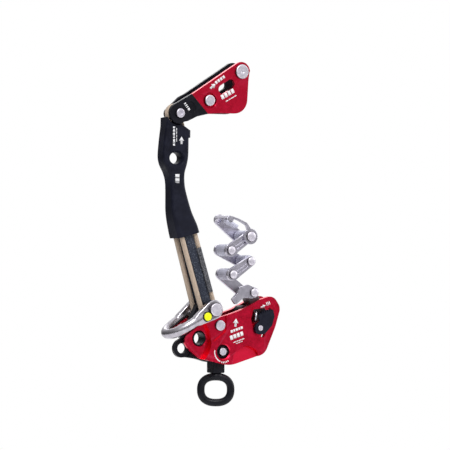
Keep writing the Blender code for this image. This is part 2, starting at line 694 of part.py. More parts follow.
def tether_housing():
    """Moulded body of the tether: waisted, with a long eye, a notch block at its top right and a
    saddle for the wrench arms. Each row is a height, the left and right sides, and half the depth."""
    made = loft("tether_housing", [housing_ring(*row) for row in (
        (MOUTH_Z, -66.6, -42.3, 10.8, MOUTH_TILT), (109, -69.2, -45.0, 10.4, MOUTH_TILT / 2),
        (118, -71.2, -48.2, 9.8), (128, -72.6, -51.2, 9.1), (146, -73.0, -56.4, 8.4),
        (156, -73.8, -57.6, 8.0), (164, -76.3, -57.2, 8.0), (172, -80.4, -54.8, 8.0),
        (181, -81.9, -53.2, 8.0), (197.9, -80.3, -52.8, 8.0), (198.5, -80.2, -50.9, 8.0),
        (205.5, -79.2, -50.8, 8.0), (209.8, -78.6, -57.5, 8.0), (218, -77.3, -75.6, 8.0))])
    cut(made, prism("saddle", disc(BOLT, SADDLE_RADIUS, 48), -20, 20))
    rings = ((8.8, 7.8, -8.4), (6.4, 5.4, -6.0), (6.4, 5.4, 6.0), (8.8, 7.8, 8.4))
    cut(made, loft("slot", [[(x, y, z) for x, z in oval(TETHER_SLOT, wide, high)]
                            for wide, high, y in rings]))
    pocket = [(-74.0, 203.4), (-56.2, 203.4), (-55.1, 213.4), (-55.1, 225), (-75.4, 225),
              (-75.0, 216), (-74.0, 212)]
    cut(made, prism("pocket", pocket, -CORD_EYE_HALF - GAP, CORD_EYE_HALF + GAP))
    for side in (-1, 1):
        socket = loop_solid("socket", side, LOOP_OUT + 0.4, LOOP_HALF + GAP, LOOP_LENGTH + 0.5)
        cut(made, lean(socket, side))
    return made


def tether(root):
    holder = pivot("tether_pivot", SHACKLE_PIN, parent=root)
    place(tether_housing(), "black_plastic", holder)
    place(tether_eye(), "tan_cord", holder)
    for name, side in (("front", -1), ("rear", 1)):
        place(tether_loop(f"{name}_loop", side), "tan_cord", holder)
        place(loop_core(f"{name}_webbing", side), "black_webbing", holder)
    place(tether_label(), "black_webbing", holder)
    return holder


# ---------------------------------------------------------------- wrench

def wrench_outline(arm_radius):
    return (arc(WRENCH_SCREW, 9.7, -3, 121, 12) + [(-49.9, 242.4), (-57.0, 239.0)]
            + arc(BOLT, arm_radius, 108, 288, 14)
            + [(-57.5, 215.6), (-46.4, 219.3), (-33.4, 222.2), (-20.0, 223.2)]
            + arc((-3.0, 237.8), 14.6, -93, -5, 12) + [(12.1, 244.0), (12.8, 254.9)])


def wrench_half(name, y0, y1, right_of_seam):
    """The part of the front side on one side of the seam between the red cheek and the black arm."""
    made = prism(name, wrench_outline(ARM_RADIUS), y0, y1, rim=0.9)
    start, end = Vector((-29.6, 218.0)), Vector((-56.4, 246.0))
    along = (end - start).normalized()
    away = Vector((along.y, -along.x)) * (1 if right_of_seam else -1)
    start, end = start - along * 60 + away * GAP / 2, end + along * 60 + away * GAP / 2
    seam = [start, end, end + away * 120, start + away * 120]
    return boolean(made, prism("side", seam, -30, 30), "INTERSECT")


def wrench_slot():
    return prism("slot", strap(*WRENCH_SLOT, 4.5, 4.5, 20), -30, 30)


def wrench_cheek():
    made = wrench_half("wrench_cheek", -WRENCH_OUT, -WRENCH_IN, True)
    recess = prism("recess", disc(WRENCH_RIVET, 7.3, 32), -WRENCH_OUT - 2, -WRENCH_OUT + 1.5)
    cut(made, wrench_slot(), recess)
    return hole(hole(made, WRENCH_RIVET, 3.0 + FIT), WRENCH_SCREW, 3.0 + FIT)


def wrench_front_arm():
    made = wrench_half("wrench_front_arm", -WRENCH_OUT - 0.8, -WRENCH_IN, False)
    dish = rounded(((-59.0, 221.5, 4), (-45.5, 224.0, 4), (-51.5, 235.0, 4), (-58.5, 232.0, 4)))
    cut(made, prism("dish", dish, -WRENCH_OUT - 4, -WRENCH_OUT))
    return hole(made, BOLT, 3.2 + FIT)


def wrench_rear_plate():
    made = prism("wrench_rear_plate", wrench_outline(REAR_ARM_RADIUS), WRENCH_IN, WRENCH_OUT, rim=0.9)
    cut(made, wrench_slot())
    for centre in (WRENCH_RIVET, WRENCH_SCREW):
        hole(made, centre, 3.0 + FIT)
    return hole(made, BOLT, 3.2 + FIT)


def wrench_spacer():
    outline = rounded(((-47.5, 223.0, 3), (-25.0, 226.5, 4), (-23.0, 240.0, 14),
                       (-15.0, 260.5, 3), (-45.5, 241.5, 3)))
    made = prism("wrench_spacer", outline, -WRENCH_IN + GAP, WRENCH_IN - GAP, rim=0.5)
    return hole(made, WRENCH_RIVET, 3.0 + FIT)


def wrench_rivet():
    front, back = -WRENCH_OUT + 1.5 - GAP, WRENCH_OUT + GAP
    return turned("wrench_rivet", WRENCH_RIVET, (
        (4.7, front - 2.2), (5.6, front - 1.5), (5.6, front), (3.0, front),
        (3.0, back), (5.0, back), (5.0, back + 0.8), (4.3, back + 1.4)))


def wrench_screw():
    """Wide flat screw with a dimple, which holds the top post between the plates."""
    front, back = -WRENCH_OUT - GAP, WRENCH_OUT + GAP
    return turned("wrench_screw", WRENCH_SCREW, (
        (1.3, front - 1.5), (1.8, front - 2.2), (6.4, front - 2.2), (7.3, front - 1.3),
        (7.3, front), (3.0, front), (3.0, back), (5.2, back), (5.2, back + 1.0),
        (4.4, back + 1.8)), 24)


def sleeve(name, centre, outer, inner):
    half = WRENCH_IN - GAP
    return hole(rod(name, centre, outer, -half, half, sides=16), centre, inner, sides=12)


def wrench_bolt():
    front, back = -WRENCH_OUT - 0.8 - GAP, WRENCH_OUT + GAP
    made = turned("wrench_bolt", BOLT, (
        (4.0, front - 2.6), (4.7, front - 2.0), (4.7, front), (3.2, front), (3.2, back + 2.8)), 24)
    return cut(made, prism("socket", disc(BOLT, 2.3, 6), front - 5, front - 1.3))


def wrench_nut():
    back = WRENCH_OUT + GAP
    return hole(prism("wrench_nut", disc(BOLT, 5.0, 6), back, back + 2.4, rim=0.3), BOLT, 3.2 + FIT)


def wrench(holder):
    frame = pivot("wrench_pivot", BOLT, parent=holder)
    for made, finish in (
        (wrench_rear_plate(), "black_anodised"),
        (wrench_front_arm(), "black_anodised"),
        (wrench_cheek(), "red_anodised"),
        (wrench_spacer(), "black_plastic"),
        (wrench_rivet(), "bright_steel"),
        (wrench_screw(), "bright_steel"),
        (sleeve("wrench_post", WRENCH_SCREW, 4.7, 3.0 + FIT), "cast_steel"),
        (sleeve("bolt_sleeve", BOLT, 4.6, 3.2 + FIT), "cast_steel"),
        (wrench_bolt(), "bright_steel"),
        (wrench_nut(), "cast_steel"),
    ):
        place(made, finish, frame)


def main():
    for obj in list(bpy.data.objects):
        bpy.data.objects.remove(obj)
    root = pivot("body_frame", (0.0, 0.0))
    lower_body(root)
    swivel = pivot("swivel_pivot", (SWIVEL[0], SWIVEL_BOTTOM), parent=root)
    place(swivel_eye(), "black_anodised", swivel)
    friction_chain(root)
    shackle(root)
    wrench(tether(root))


main()
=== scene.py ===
"""Looks of a rope ascender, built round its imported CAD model.

Sizes are in millimetres, and MM turns them into metres. Plates lie in the XZ plane with their
front at -Y. Points of an outline are (x, z) pairs. show() gives each finished piece its material,
the body it rides on and the CAD nodes it stands for.
"""

import json
import math

import bmesh
import bpy
from mathutils import Matrix, Vector


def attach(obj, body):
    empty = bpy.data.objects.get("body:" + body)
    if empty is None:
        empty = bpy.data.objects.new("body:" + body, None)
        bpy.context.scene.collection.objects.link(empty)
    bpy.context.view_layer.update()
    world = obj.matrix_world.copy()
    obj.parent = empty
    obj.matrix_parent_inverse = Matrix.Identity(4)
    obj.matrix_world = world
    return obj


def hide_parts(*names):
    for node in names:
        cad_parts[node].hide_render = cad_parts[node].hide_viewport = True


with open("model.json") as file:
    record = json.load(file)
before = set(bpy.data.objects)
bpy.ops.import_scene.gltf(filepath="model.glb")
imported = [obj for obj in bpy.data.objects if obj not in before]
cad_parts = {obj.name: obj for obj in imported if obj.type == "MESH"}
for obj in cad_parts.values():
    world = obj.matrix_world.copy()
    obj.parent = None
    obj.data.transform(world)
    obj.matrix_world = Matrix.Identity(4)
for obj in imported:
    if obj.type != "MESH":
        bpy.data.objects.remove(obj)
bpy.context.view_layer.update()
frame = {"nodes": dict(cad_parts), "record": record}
nodes = frame["nodes"]

MM = 0.001
FIT = 0.35  # radial play of a pin in its hole
FRONT, REAR = -1, 1
THROUGH = 30.0  # half the length of a cutter that passes right through
RIVET_RADIUS, BOLT_RADIUS, SCREW_RADIUS = 3.0, 3.2, 1.6  # shanks

# Lower body
CHEEK_IN, CHEEK_OUT = 7.5, 12.5
LOBE_IN, LOBE_OUT = 3.7, 6.4
RIVET = (-20.4, 12.2)
ADJUSTER = (-16.9, -14.0)
RECESS_DEPTH = 3.4  # of the adjuster's recess
ATTACHMENT, ATTACHMENT_RADIUS = (-41.2, -0.5), 7.4
STEP_CENTRE, STEP_RADIUS, STEP_WALL = (-57.0, -2.5), 26.5, 3.5
BOLLARDS, BOLLARD_SCREW_RADIUS = ((10.5, 26.0), (14.5, -8.0)), 2.2
LATCH_PIVOT = (24.2, 8.8)
LEVER_AXLE = (32.5, 19.0)
SCOOP_SLOPE, SCOOP_FOOT_Z = 0.2, -27.0

# Swivel
SWIVEL, SWIVEL_BOTTOM = (-18.8, 0.0), -35.5
SWIVEL_TURN = math.radians(-30)
EYE_CENTRE_Z, EYE_HALF_WIDTH, EYE_HALF_HEIGHT = -52.3, 14.9, 12.9
EYE_ROD, EYE_FULLNESS = 3.85, 2.4

# Friction chain
# Joints from the cap's free end down to the lever
CHAIN = ((-8.5, 117.0), (13.0, 100.5), (-8.4, 86.8), (14.6, 75.7), (-6.2, 62.7), (18.2, 44.3))
LINK_IN, LINK_OUT = 9.6, 12.8
FRONT_LINK_ENDS, REAR_LINK_ENDS = (5.0, 6.4), (5.8, 5.8)
BARREL_RADIUS, LINK_PIN_RADIUS = 6.0, 2.6
LINK_HEADS = (5.0, 4.4, 4.4, 4.4, 4.5)
CAP_IN, CAP_OUT = 13.1, 15.3

# Shackle
SHACKLE_PIN, SHACKLE_PIN_RADIUS = (-32.0, 28.4), 4.9
SHACKLE_SLOPE = math.radians(210.5)
EAR_IN, EAR_OUT = 14.4, 21.6
BOW_ROOT, BOW_REACH, BOW_HALF, BOW_FULLNESS = 11.0, 47.0, 18.2, 2.6
BOW_ROD = (4.8, 5.2)  # half its size in the bow's plane, and square to it
LEG_START = 16.6
BUTTON, BUTTON_HOLE_RADIUS, BUTTON_HOLE_DEPTH = (-41.2, 21.6), 4.95, 3.6

# Tether
TETHER_SLOPE = math.radians(106.4)
LOOP_CENTRE, LOOP_HALF, LOOP_OUT, LOOP_IN = 8.0, 2.9, 9.9, 5.25
LOOP_LENGTH, LOOP_LEAN = 84.0, 2.2
TETHER_SLOT = (-67.3, 178.0)
CORD_EYE_HALF = 4.2
HOUSING_FACE = -8.0

# Wrench
BOLT = (-66.2, 222.2)
WRENCH_RIVET = (-31.3, 235.6)
WRENCH_SCREW = (5.0, 265.2)
WRENCH_IN, WRENCH_OUT, ARM_RAISE = 7.0, 10.6, 0.8
WRENCH_SLOT, WRENCH_SLOT_HALF = ((-17.0, 246.8), (-7.6, 252.6)), 4.5
WRENCH_SEAM, SEAM_HALF_GAP = ((-29.6, 218.0), (-56.4, 246.0)), 0.15
ARM_RADIUS, REAR_ARM_RADIUS, SADDLE_RADIUS = 10.4, 6.2, 11.7

# ---- camera, light and floor

VIEW_AZIMUTH = math.radians(-30)
TOWARDS_VIEW = Vector((math.sin(VIEW_AZIMUTH), -math.cos(VIEW_AZIMUTH), 0))
VIEW_DISTANCE = 2.5
VIEW_TARGET = Vector((-8.1, 0.0, 112.0)) * MM
FOCAL_LENGTH = 200.0
FLOOR_Z, FLOOR_RADIUS = -0.25, 1.2
DARK_SIDE = Vector((-0.9, 0.43, 0))
# Brightness of the room towards its dark side, then upwards, as (place from 0 to 1, shade)
AROUND = ((0.0, 0.72), (0.12, 0.6), (0.45, 0.6), (0.7, 0.42), (0.85, 0.22), (1.0, 0.2))
UPWARD = ((0.0, 0.75), (0.3, 0.6), (0.45, 0.45), (0.52, 0.65), (0.62, 1.2), (0.75, 1.8),
          (1.0, 2.0))


def add_camera():
    data = bpy.data.cameras.new("camera")
    data.lens = FOCAL_LENGTH
    data.sensor_width = 36.0
    data.clip_end = 100
    camera = bpy.data.objects.new("camera", data)
    camera.location = VIEW_TARGET + TOWARDS_VIEW * VIEW_DISTANCE
    camera.rotation_mode = "QUATERNION"
    camera.rotation_quaternion = (-TOWARDS_VIEW).to_track_quat("-Z", "Y")
    bpy.context.scene.collection.objects.link(camera)
    bpy.context.scene.camera = camera


def add_light(name, place, size, power):
    """A softbox that faces the object, at a place in metres from it."""
    data = bpy.data.lights.new(name, "AREA")
    data.shape = "RECTANGLE"
    data.size, data.size_y = size
    data.energy = power
    light = bpy.data.objects.new(name, data)
    light.location = VIEW_TARGET + Vector(place)
    light.rotation_mode = "QUATERNION"
    light.rotation_quaternion = Vector(place).to_track_quat("Z", "Y")
    bpy.context.scene.collection.objects.link(light)


def add_world():
    """White where the camera sees it, and elsewhere a room, dark to its left and bright above."""
    world = bpy.data.worlds.new("studio")
    bpy.context.scene.world = world
    world.use_nodes = True
    tree = world.node_tree
    tree.nodes.clear()
    link = tree.links.new
    output, mix, seen, room, path, where, facing, split = (
        tree.nodes.new(f"ShaderNode{kind}")
        for kind in ("OutputWorld", "MixShader", "Background", "Background", "LightPath",
                     "TexCoord", "VectorMath", "SeparateXYZ"))
    facing.operation = "DOT_PRODUCT"
    facing.inputs[1].default_value = DARK_SIDE
    link(where.outputs["Generated"], facing.inputs[0])
    link(where.outputs["Generated"], split.inputs[0])
    around = shade_by(tree, facing.outputs["Value"], AROUND)
    upward = shade_by(tree, split.outputs["Z"], UPWARD)
    link(blend_colours(tree, 1.0, around, upward, "MULTIPLY"), room.inputs["Color"])
    link(path.outputs["Is Camera Ray"], mix.inputs[0])
    link(room.outputs[0], mix.inputs[1])
    link(seen.outputs[0], mix.inputs[2])
    link(mix.outputs[0], output.inputs[0])
    seen.inputs["Color"].default_value = (1, 1, 1, 1)


def shade_by(tree, value, stops):
    """Greys by a value that runs from -1 to 1, with stops placed from 0 to 1."""
    scale = tree.nodes.new("ShaderNodeMapRange")
    scale.inputs["From Min"].default_value = -1
    tree.links.new(value, scale.inputs["Value"])
    return ramp(tree, scale.outputs[0], *((place, (shade,) * 3) for place, shade in stops))


def add_floor():
    bpy.ops.mesh.primitive_circle_add(vertices=96, radius=FLOOR_RADIUS, fill_type="NGON",
                                      location=(VIEW_TARGET.x, 0, FLOOR_Z))
    floor = bpy.context.object
    floor.name = "floor"
    made, _, shader = shader_of("floor")
    tune(shader, {"Base Color": (0.86, 0.86, 0.87, 1), "Roughness": 0.7})
    floor.data.materials.append(made)


def add_studio():
    add_camera()
    add_world()
    add_floor()
    bpy.context.scene.view_settings.view_transform = "Standard"
    add_light("key", (-0.7, -1.2, 1.5), (0.5, 0.5), 22)
    add_light("side", (2.0, -0.5, 0.5), (0.4, 1.4), 10)
    add_light("rim", (0.6, 1.6, 1.2), (0.6, 1.0), 4)


# ---- materials

def shader_of(name):
    """A new material, its node tree and its shader."""
    made = bpy.data.materials.new(name)
    made.use_nodes = True
    return made, made.node_tree, made.node_tree.nodes["Principled BSDF"]


def tune(node, values):
    """Sets a node's inputs, by their names."""
    for name, value in values.items():
        node.inputs[name].default_value = value


def noise(tree, scale, detail):
    """Noise in the object's own space, in cells per metre."""
    where = tree.nodes.new("ShaderNodeTexCoord")
    made = tree.nodes.new("ShaderNodeTexNoise")
    tune(made, {"Scale": scale, "Detail": detail})
    tree.links.new(where.outputs["Object"], made.inputs["Vector"])
    return made.outputs["Fac"]


def ramp(tree, value, *stops):
    """Colours by a value, from (place, colour) stops."""
    made = tree.nodes.new("ShaderNodeValToRGB")
    elements = made.color_ramp.elements
    elements.remove(elements[1])
    elements[0].position, elements[0].color = stops[0][0], (*stops[0][1], 1)
    for place, colour in stops[1:]:
        elements.new(place).color = (*colour, 1)
    tree.links.new(value, made.inputs[0])
    return made.outputs[0]


def levels(tree, value, low, high, start=0.3, end=0.7):
    """Number that goes from low to high as a value goes from start to end, and is level beyond."""
    made = tree.nodes.new("ShaderNodeMapRange")
    tune(made, {"From Min": start, "From Max": end, "To Min": low, "To Max": high})
    tree.links.new(value, made.inputs["Value"])
    return made.outputs[0]


def feed(tree, node, *values):
    """Gives a node's inputs, in turn, a number, a colour or a link from a socket."""
    for socket, value in zip(node.inputs, values):
        if isinstance(value, (int, float)):
            socket.default_value = value
        elif isinstance(value, tuple):
            socket.default_value = (*value, 1)
        else:
            tree.links.new(value, socket)
    return node.outputs[0]


def calc(tree, operation, *values):
    """One step of arithmetic on sockets and numbers."""
    made = tree.nodes.new("ShaderNodeMath")
    made.operation = operation
    return feed(tree, made, *values)


def blend_colours(tree, factor, first, second, how="MIX"):
    made = tree.nodes.new("ShaderNodeMixRGB")
    made.blend_type = how
    return feed(tree, made, factor, first, second)


def bump(tree, value, strength, depth, under=None):
    """Relief by a value, with its depth in metres, over another relief if one is given."""
    made = tree.nodes.new("ShaderNodeBump")
    tune(made, {"Strength": strength, "Distance": depth})
    tree.links.new(value, made.inputs["Height"])
    if under:
        tree.links.new(under, made.inputs["Normal"])
    return made.outputs[0]


WEAR_AND_HIGHLIGHT, WEAR_AND_HIGHLIGHT_START, WEAR_AND_HIGHLIGHT_END = 0.6, 0.60, 0.72  # its strength, then the sharpness of edges lightened by wear and painted highlight


def edge_wear_and_highlight(tree, colour, worn_and_lit):
    """Lightens outward edges, partly as wear where a finish rubs and partly as a painted highlight
    where rims catch the light.
    """
    shape = tree.nodes.new("ShaderNodeNewGeometry")
    edge = levels(tree, shape.outputs["Pointiness"], 0.0, WEAR_AND_HIGHLIGHT, WEAR_AND_HIGHLIGHT_START, WEAR_AND_HIGHLIGHT_END)
    return blend_colours(tree, edge, colour, worn_and_lit)


def metal(name, dark, light, roughness, grain, relief, metallic=1.0, patches=90, worn_and_lit=None,
          specular=0.5):
    """A blasted, cast, moulded or anodised surface.

    It has faint patches of colour and gloss, a fine grain and, with a worn colour, edges lightened
    partly by wear and partly by a painted highlight.
    The grain and the patches are in cells per metre, and the relief in metres.
    """
    made, tree, shader = shader_of(name)
    colour = ramp(tree, noise(tree, patches, 4), (0.35, dark), (0.65, light))
    if worn_and_lit:
        colour = edge_wear_and_highlight(tree, colour, worn_and_lit)
    gloss = levels(tree, noise(tree, patches * 4, 3), *roughness)
    tree.links.new(colour, shader.inputs["Base Color"])
    tree.links.new(gloss, shader.inputs["Roughness"])
    tree.links.new(bump(tree, noise(tree, grain, 2), 0.35, relief), shader.inputs["Normal"])
    tune(shader, {"Metallic": metallic, "Specular IOR Level": specular})
    return made


def woven(name, dark, light, roughness, pitch, slant, relief, sheen, flecks=None):
    """Cloth by its UVs in millimetres, whose yarns cross over and under.

    They lie on the bias where slant is 1. The relief is in metres.
    """
    made, tree, shader = shader_of(name)
    uv = tree.nodes.new("ShaderNodeUVMap")
    split = tree.nodes.new("ShaderNodeSeparateXYZ")
    tree.links.new(uv.outputs[0], split.inputs[0])
    u, v = (calc(tree, "DIVIDE", split.outputs[i], pitch) for i in (0, 1))
    first = calc(tree, "ADD", u, calc(tree, "MULTIPLY", v, slant))
    second = calc(tree, "SUBTRACT", v, calc(tree, "MULTIPLY", u, slant))
    heights = []
    for along in (first, second):
        doubled = calc(tree, "MULTIPLY", calc(tree, "FRACT", along), 2.0)
        centred = calc(tree, "SUBTRACT", doubled, 1.0)
        heights.append(calc(tree, "SUBTRACT", 1.0, calc(tree, "MULTIPLY", centred, centred)))
    crossings = calc(tree, "ADD", calc(tree, "FLOOR", first), calc(tree, "FLOOR", second))
    over = calc(tree, "ABSOLUTE", calc(tree, "MODULO", crossings, 2.0))
    height = blend_colours(tree, over, heights[0], heights[1])
    # Painted shade: yarns are lighter on their crowns and darker in the hollows between them, with
    # a random tone of noise over that.
    shade = calc(tree, "ADD", calc(tree, "MULTIPLY", height, 0.55),
                 calc(tree, "MULTIPLY", noise(tree, 420, 4), 0.6))
    colour = ramp(tree, shade, (0.2, dark), (0.75, light))
    if flecks:
        spots = levels(tree, noise(tree, 950, 2), 0.0, 1.0, 0.56, 0.68)
        colour = blend_colours(tree, spots, colour, flecks)
    tree.links.new(colour, shader.inputs["Base Color"])
    fuzz = bump(tree, noise(tree, 5200, 2), 0.3, 0.00008)
    tree.links.new(bump(tree, height, 0.7, relief, fuzz), shader.inputs["Normal"])
    tune(shader, {"Roughness": roughness, "Specular IOR Level": 0.2, "Sheen Weight": sheen})
    return made


def anodised_red():
    # The worn colour lightens outward edges to pink, partly as wear and partly as a painted
    # highlight.
    made = metal("red_anodised", (0.66, 0.003, 0.034), (0.78, 0.007, 0.050), (0.27, 0.36),
                 grain=3200, relief=0.00003, worn_and_lit=(0.90, 0.08, 0.18))
    coat = {"Coat Weight": 0.25, "Coat Roughness": 0.22}
    tune(made.node_tree.nodes["Principled BSDF"], coat)
    return made


RED = anodised_red()
BLACK = metal("black_anodised", (0.004, 0.004, 0.007), (0.009, 0.009, 0.014), (0.30, 0.42),
              grain=3000, relief=0.00003, metallic=0.0, worn_and_lit=(0.06, 0.06, 0.075), specular=0.17)
STEEL = metal("polished_steel", (0.40, 0.38, 0.42), (0.54, 0.52, 0.57), (0.18, 0.30),
              grain=900, relief=0.00002, patches=160)
CAST = metal("cast_steel", (0.52, 0.50, 0.58), (0.64, 0.62, 0.71), (0.27, 0.38),
             grain=1500, relief=0.00006, worn_and_lit=(0.86, 0.85, 0.92))
BLASTED = metal("blasted_steel", (0.44, 0.44, 0.55), (0.53, 0.53, 0.65), (0.42, 0.52),
                grain=1500, relief=0.00006, metallic=0.3, worn_and_lit=(0.74, 0.74, 0.84), specular=0.7)
# Painted shade: a darkened copy of the cast steel for the lever arm, which lies in shadow under the
# lever's leaf.
SHADED_STEEL = metal("shaded_steel", (0.09, 0.08, 0.09), (0.15, 0.14, 0.15), (0.36, 0.48),
                   grain=1500, relief=0.00006, metallic=0.8, worn_and_lit=(0.40, 0.38, 0.42))
PLASTIC = metal("black_plastic", (0.004, 0.0045, 0.011), (0.009, 0.010, 0.021), (0.38, 0.52),
                grain=1300, relief=0.00007, metallic=0.0, specular=0.17)
CORD = woven("tan_cord", (0.34, 0.25, 0.18), (0.58, 0.46, 0.36), 0.85,
             pitch=0.9, slant=1.0, relief=0.00025, sheen=0.2)
WEBBING = woven("black_webbing", (0.003, 0.004, 0.008), (0.028, 0.034, 0.055), 0.75,
                pitch=0.8, slant=0.0, relief=0.0002, sheen=0.1, flecks=(0.13, 0.15, 0.19))
YELLOW = metal("yellow_plastic", (0.80, 0.86, 0.0), (0.88, 0.94, 0.01), (0.3, 0.42),
               grain=900, relief=0.00003, metallic=0.0)
PRINT = metal("white_print", (0.72, 0.72, 0.74), (0.86, 0.86, 0.88), (0.5, 0.65),
              grain=1800, relief=0.00002, metallic=0.0, specular=0.3)


def headed_steel(name, centre, radius, pitch=0.9):
    """Satin steel faced on a lathe, with faint rings a pitch apart and its rim darkened as painted
    shade.
    """
    made, tree, shader = shader_of(name)
    where = tree.nodes.new("ShaderNodeTexCoord")
    flat = tree.nodes.new("ShaderNodeVectorMath")
    flat.operation = "MULTIPLY"
    flat.inputs[1].default_value = (1, 0, 1)
    away = tree.nodes.new("ShaderNodeVectorMath")
    away.operation = "DISTANCE"
    away.inputs[1].default_value = Vector((centre[0], 0, centre[1])) * MM
    tree.links.new(where.outputs["Object"], flat.inputs[0])
    tree.links.new(flat.outputs[0], away.inputs[0])
    distance = away.outputs["Value"]
    rings = calc(tree, "SINE", calc(tree, "MULTIPLY", distance, 2 * math.pi / (pitch * MM)))
    colour = ramp(tree, noise(tree, 420, 4), (0.35, (0.62, 0.59, 0.67)), (0.65, (0.76, 0.73, 0.80)))
    # Painted shade: the head darkens towards its rim, where it meets the plate round it.
    edge = levels(tree, distance, 0.0, 1.0, (radius - 0.45) * MM, (radius - 0.05) * MM)
    colour = blend_colours(tree, edge, colour, (0.09, 0.08, 0.09))
    tree.links.new(colour, shader.inputs["Base Color"])
    tree.links.new(levels(tree, noise(tree, 700, 3), 0.44, 0.56), shader.inputs["Roughness"])
    grain = bump(tree, noise(tree, 1700, 2), 0.4, 0.00005)
    tree.links.new(bump(tree, rings, 0.12, 0.00002, grain), shader.inputs["Normal"])
    shader.inputs["Metallic"].default_value = 1.0
    return made


def printed_label():
    """Black cloth label with pale rows of dashes."""
    made, tree, shader = shader_of("printed_label")
    uv = tree.nodes.new("ShaderNodeUVMap")
    brick = tree.nodes.new("ShaderNodeTexBrick")
    tune(brick, {"Scale": 0.55, "Mortar Size": 0.03, "Bias": -0.1,
                 "Color1": (0.006, 0.007, 0.012, 1), "Color2": (0.20, 0.20, 0.22, 1),
                 "Mortar": (0.012, 0.013, 0.02, 1)})
    tree.links.new(uv.outputs[0], brick.inputs["Vector"])
    tree.links.new(brick.outputs["Color"], shader.inputs["Base Color"])
    tree.links.new(bump(tree, noise(tree, 2600, 2), 0.4, 0.00008), shader.inputs["Normal"])
    shader.inputs["Roughness"].default_value = 0.7
    return made


# ---- outlines

def arc(centre, radius, start, end, step=6):
    """Points on a circle from one angle to the other, in degrees."""
    count = max(2, round(abs(end - start) / step) + 1)
    angles = (math.radians(start + (end - start) * i / (count - 1)) for i in range(count))
    return [(centre[0] + radius * math.cos(a), centre[1] + radius * math.sin(a)) for a in angles]


def disc(centre, radius, sides=48):
    return arc(centre, radius, 0, 360 - 360 / sides, 360 / sides)


def squared(value, fullness):
    """Swells a sine or cosine to give an oval fuller corners; a fullness of 2 leaves it round."""
    return math.copysign(abs(value) ** (2 / fullness), value)


def whole_turn(sides):
    return [2 * math.pi * i / sides for i in range(sides)]


def oval(centre, half_width, half_height):
    x, z = centre
    return [(x + half_width * math.cos(a), z + half_height * math.sin(a)) for a in whole_turn(48)]


def strap(a, b, radius_a, radius_b, step=9):
    """Outline round two circles and their outer tangents."""
    along = Vector(b) - Vector(a)
    heading = math.degrees(math.atan2(along.y, along.x))
    lean_in = math.degrees(math.acos((radius_a - radius_b) / along.length))
    return (arc(a, radius_a, heading + lean_in, heading + 360 - lean_in, step)
            + arc(b, radius_b, heading - lean_in, heading + lean_in, step))


def rounded(corners, step=9):
    """Outline through (x, z, radius) corners, each turned by an arc tangent to its two sides."""
    points = []
    for i, (x, z, radius) in enumerate(corners):
        corner = Vector((x, z))
        before = (Vector(corners[i - 1][:2]) - corner).normalized()
        after = (Vector(corners[(i + 1) % len(corners)][:2]) - corner).normalized()
        half = before.angle(after) / 2
        if radius == 0 or half > math.radians(89):
            points.append((x, z))
            continue
        centre = corner + (before + after).normalized() * radius / math.sin(half)
        start = corner + before * radius / math.tan(half) - centre
        first = math.degrees(math.atan2(start.y, start.x))
        turn = 180 - 2 * math.degrees(half)
        sign = 1 if before.cross(after) < 0 else -1
        points += arc(centre, radius, first, first + sign * turn, step)
    return points


# ---- solids

def finish_mesh(name, bm):
    bmesh.ops.recalc_face_normals(bm, faces=bm.faces)
    mesh = bpy.data.meshes.new(name)
    bm.to_mesh(mesh)
    bm.free()
    piece = bpy.data.objects.new(name, mesh)
    bpy.context.scene.collection.objects.link(piece)
    return piece


def prism(name, outline, y0, y1, rim=0.0, segments=4):
    """Outline carried from y0 to y1, with both rims rounded."""
    bm = bmesh.new()
    rings = [[bm.verts.new(Vector((x, y, z)) * MM) for x, z in outline] for y in (y0, y1)]
    bm.faces.new(rings[0])
    bm.faces.new(rings[1])
    for i in range(len(outline)):
        bm.faces.new((rings[0][i - 1], rings[0][i], rings[1][i], rings[1][i - 1]))
    if rim:
        edges = [e for e in bm.edges if e.verts[0].co.y == e.verts[1].co.y]
        bmesh.ops.bevel(bm, geom=edges, offset=rim * MM, segments=segments, profile=0.5,
                        affect="EDGES", clamp_overlap=True)
    return finish_mesh(name, bm)


def skin(name, rings, closed=False):
    """Skin over rings of points, with its UVs in millimetres: along the rings, then round them."""
    bm = bmesh.new()
    layer = bm.loops.layers.uv.new("cloth")
    made = [[bm.verts.new(Vector(p) * MM) for p in ring] for ring in rings]
    sides = len(rings[0])
    along = [0.0]
    for before, after in zip(rings, rings[1:] + rings[:1]):
        along.append(along[-1] + (Vector(after[0]) - Vector(before[0])).length)
    girth = sum((Vector(rings[0][i]) - Vector(rings[0][i - 1])).length for i in range(sides))
    for k in range(len(made) if closed else len(made) - 1):
        lower, upper = made[k], made[(k + 1) % len(made)]
        for i in range(sides):
            face = bm.faces.new((lower[i - 1], lower[i], upper[i], upper[i - 1]))
            places = ((k, i), (k, i + 1), (k + 1, i + 1), (k + 1, i))
            for loop, (row, side) in zip(face.loops, places):
                loop[layer].uv = (along[row], girth * side / sides)
    if not closed:
        bm.faces.new(made[0])
        bm.faces.new(made[-1])
    return finish_mesh(name, bm)


def stacked(name, outlines, depths):
    """Skin through flat outlines, each at its own depth."""
    return skin(name, [[(x, y, z) for x, z in ring] for ring, y in zip(outlines, depths)])


def turned(name, centre, profile, axis="Y"):
    """Profile of (radius, along) pairs turned about an axis through the centre."""
    rings = []
    for radius, along in profile:
        circle = disc(centre, radius, 40)
        rings.append([(u, along, v) if axis == "Y" else (u, v, along) for u, v in circle])
    return skin(name, rings)


def sweep(name, path, normal, across, through, sides=24, closed=False):
    """Carries an oval along a flat path, `across` in its plane and `through` along its normal."""
    path = [Vector(p) for p in path]
    normal = Vector(normal).normalized()
    rings = []
    for i, point in enumerate(path):
        before = path[i - 1] if closed or i else point
        after = path[(i + 1) % len(path)] if closed or i < len(path) - 1 else point
        side = (after - before).normalized().cross(normal)
        rings.append([tuple(point + side * across * math.cos(a) + normal * through * math.sin(a))
                      for a in whole_turn(sides)])
    return skin(name, rings, closed)


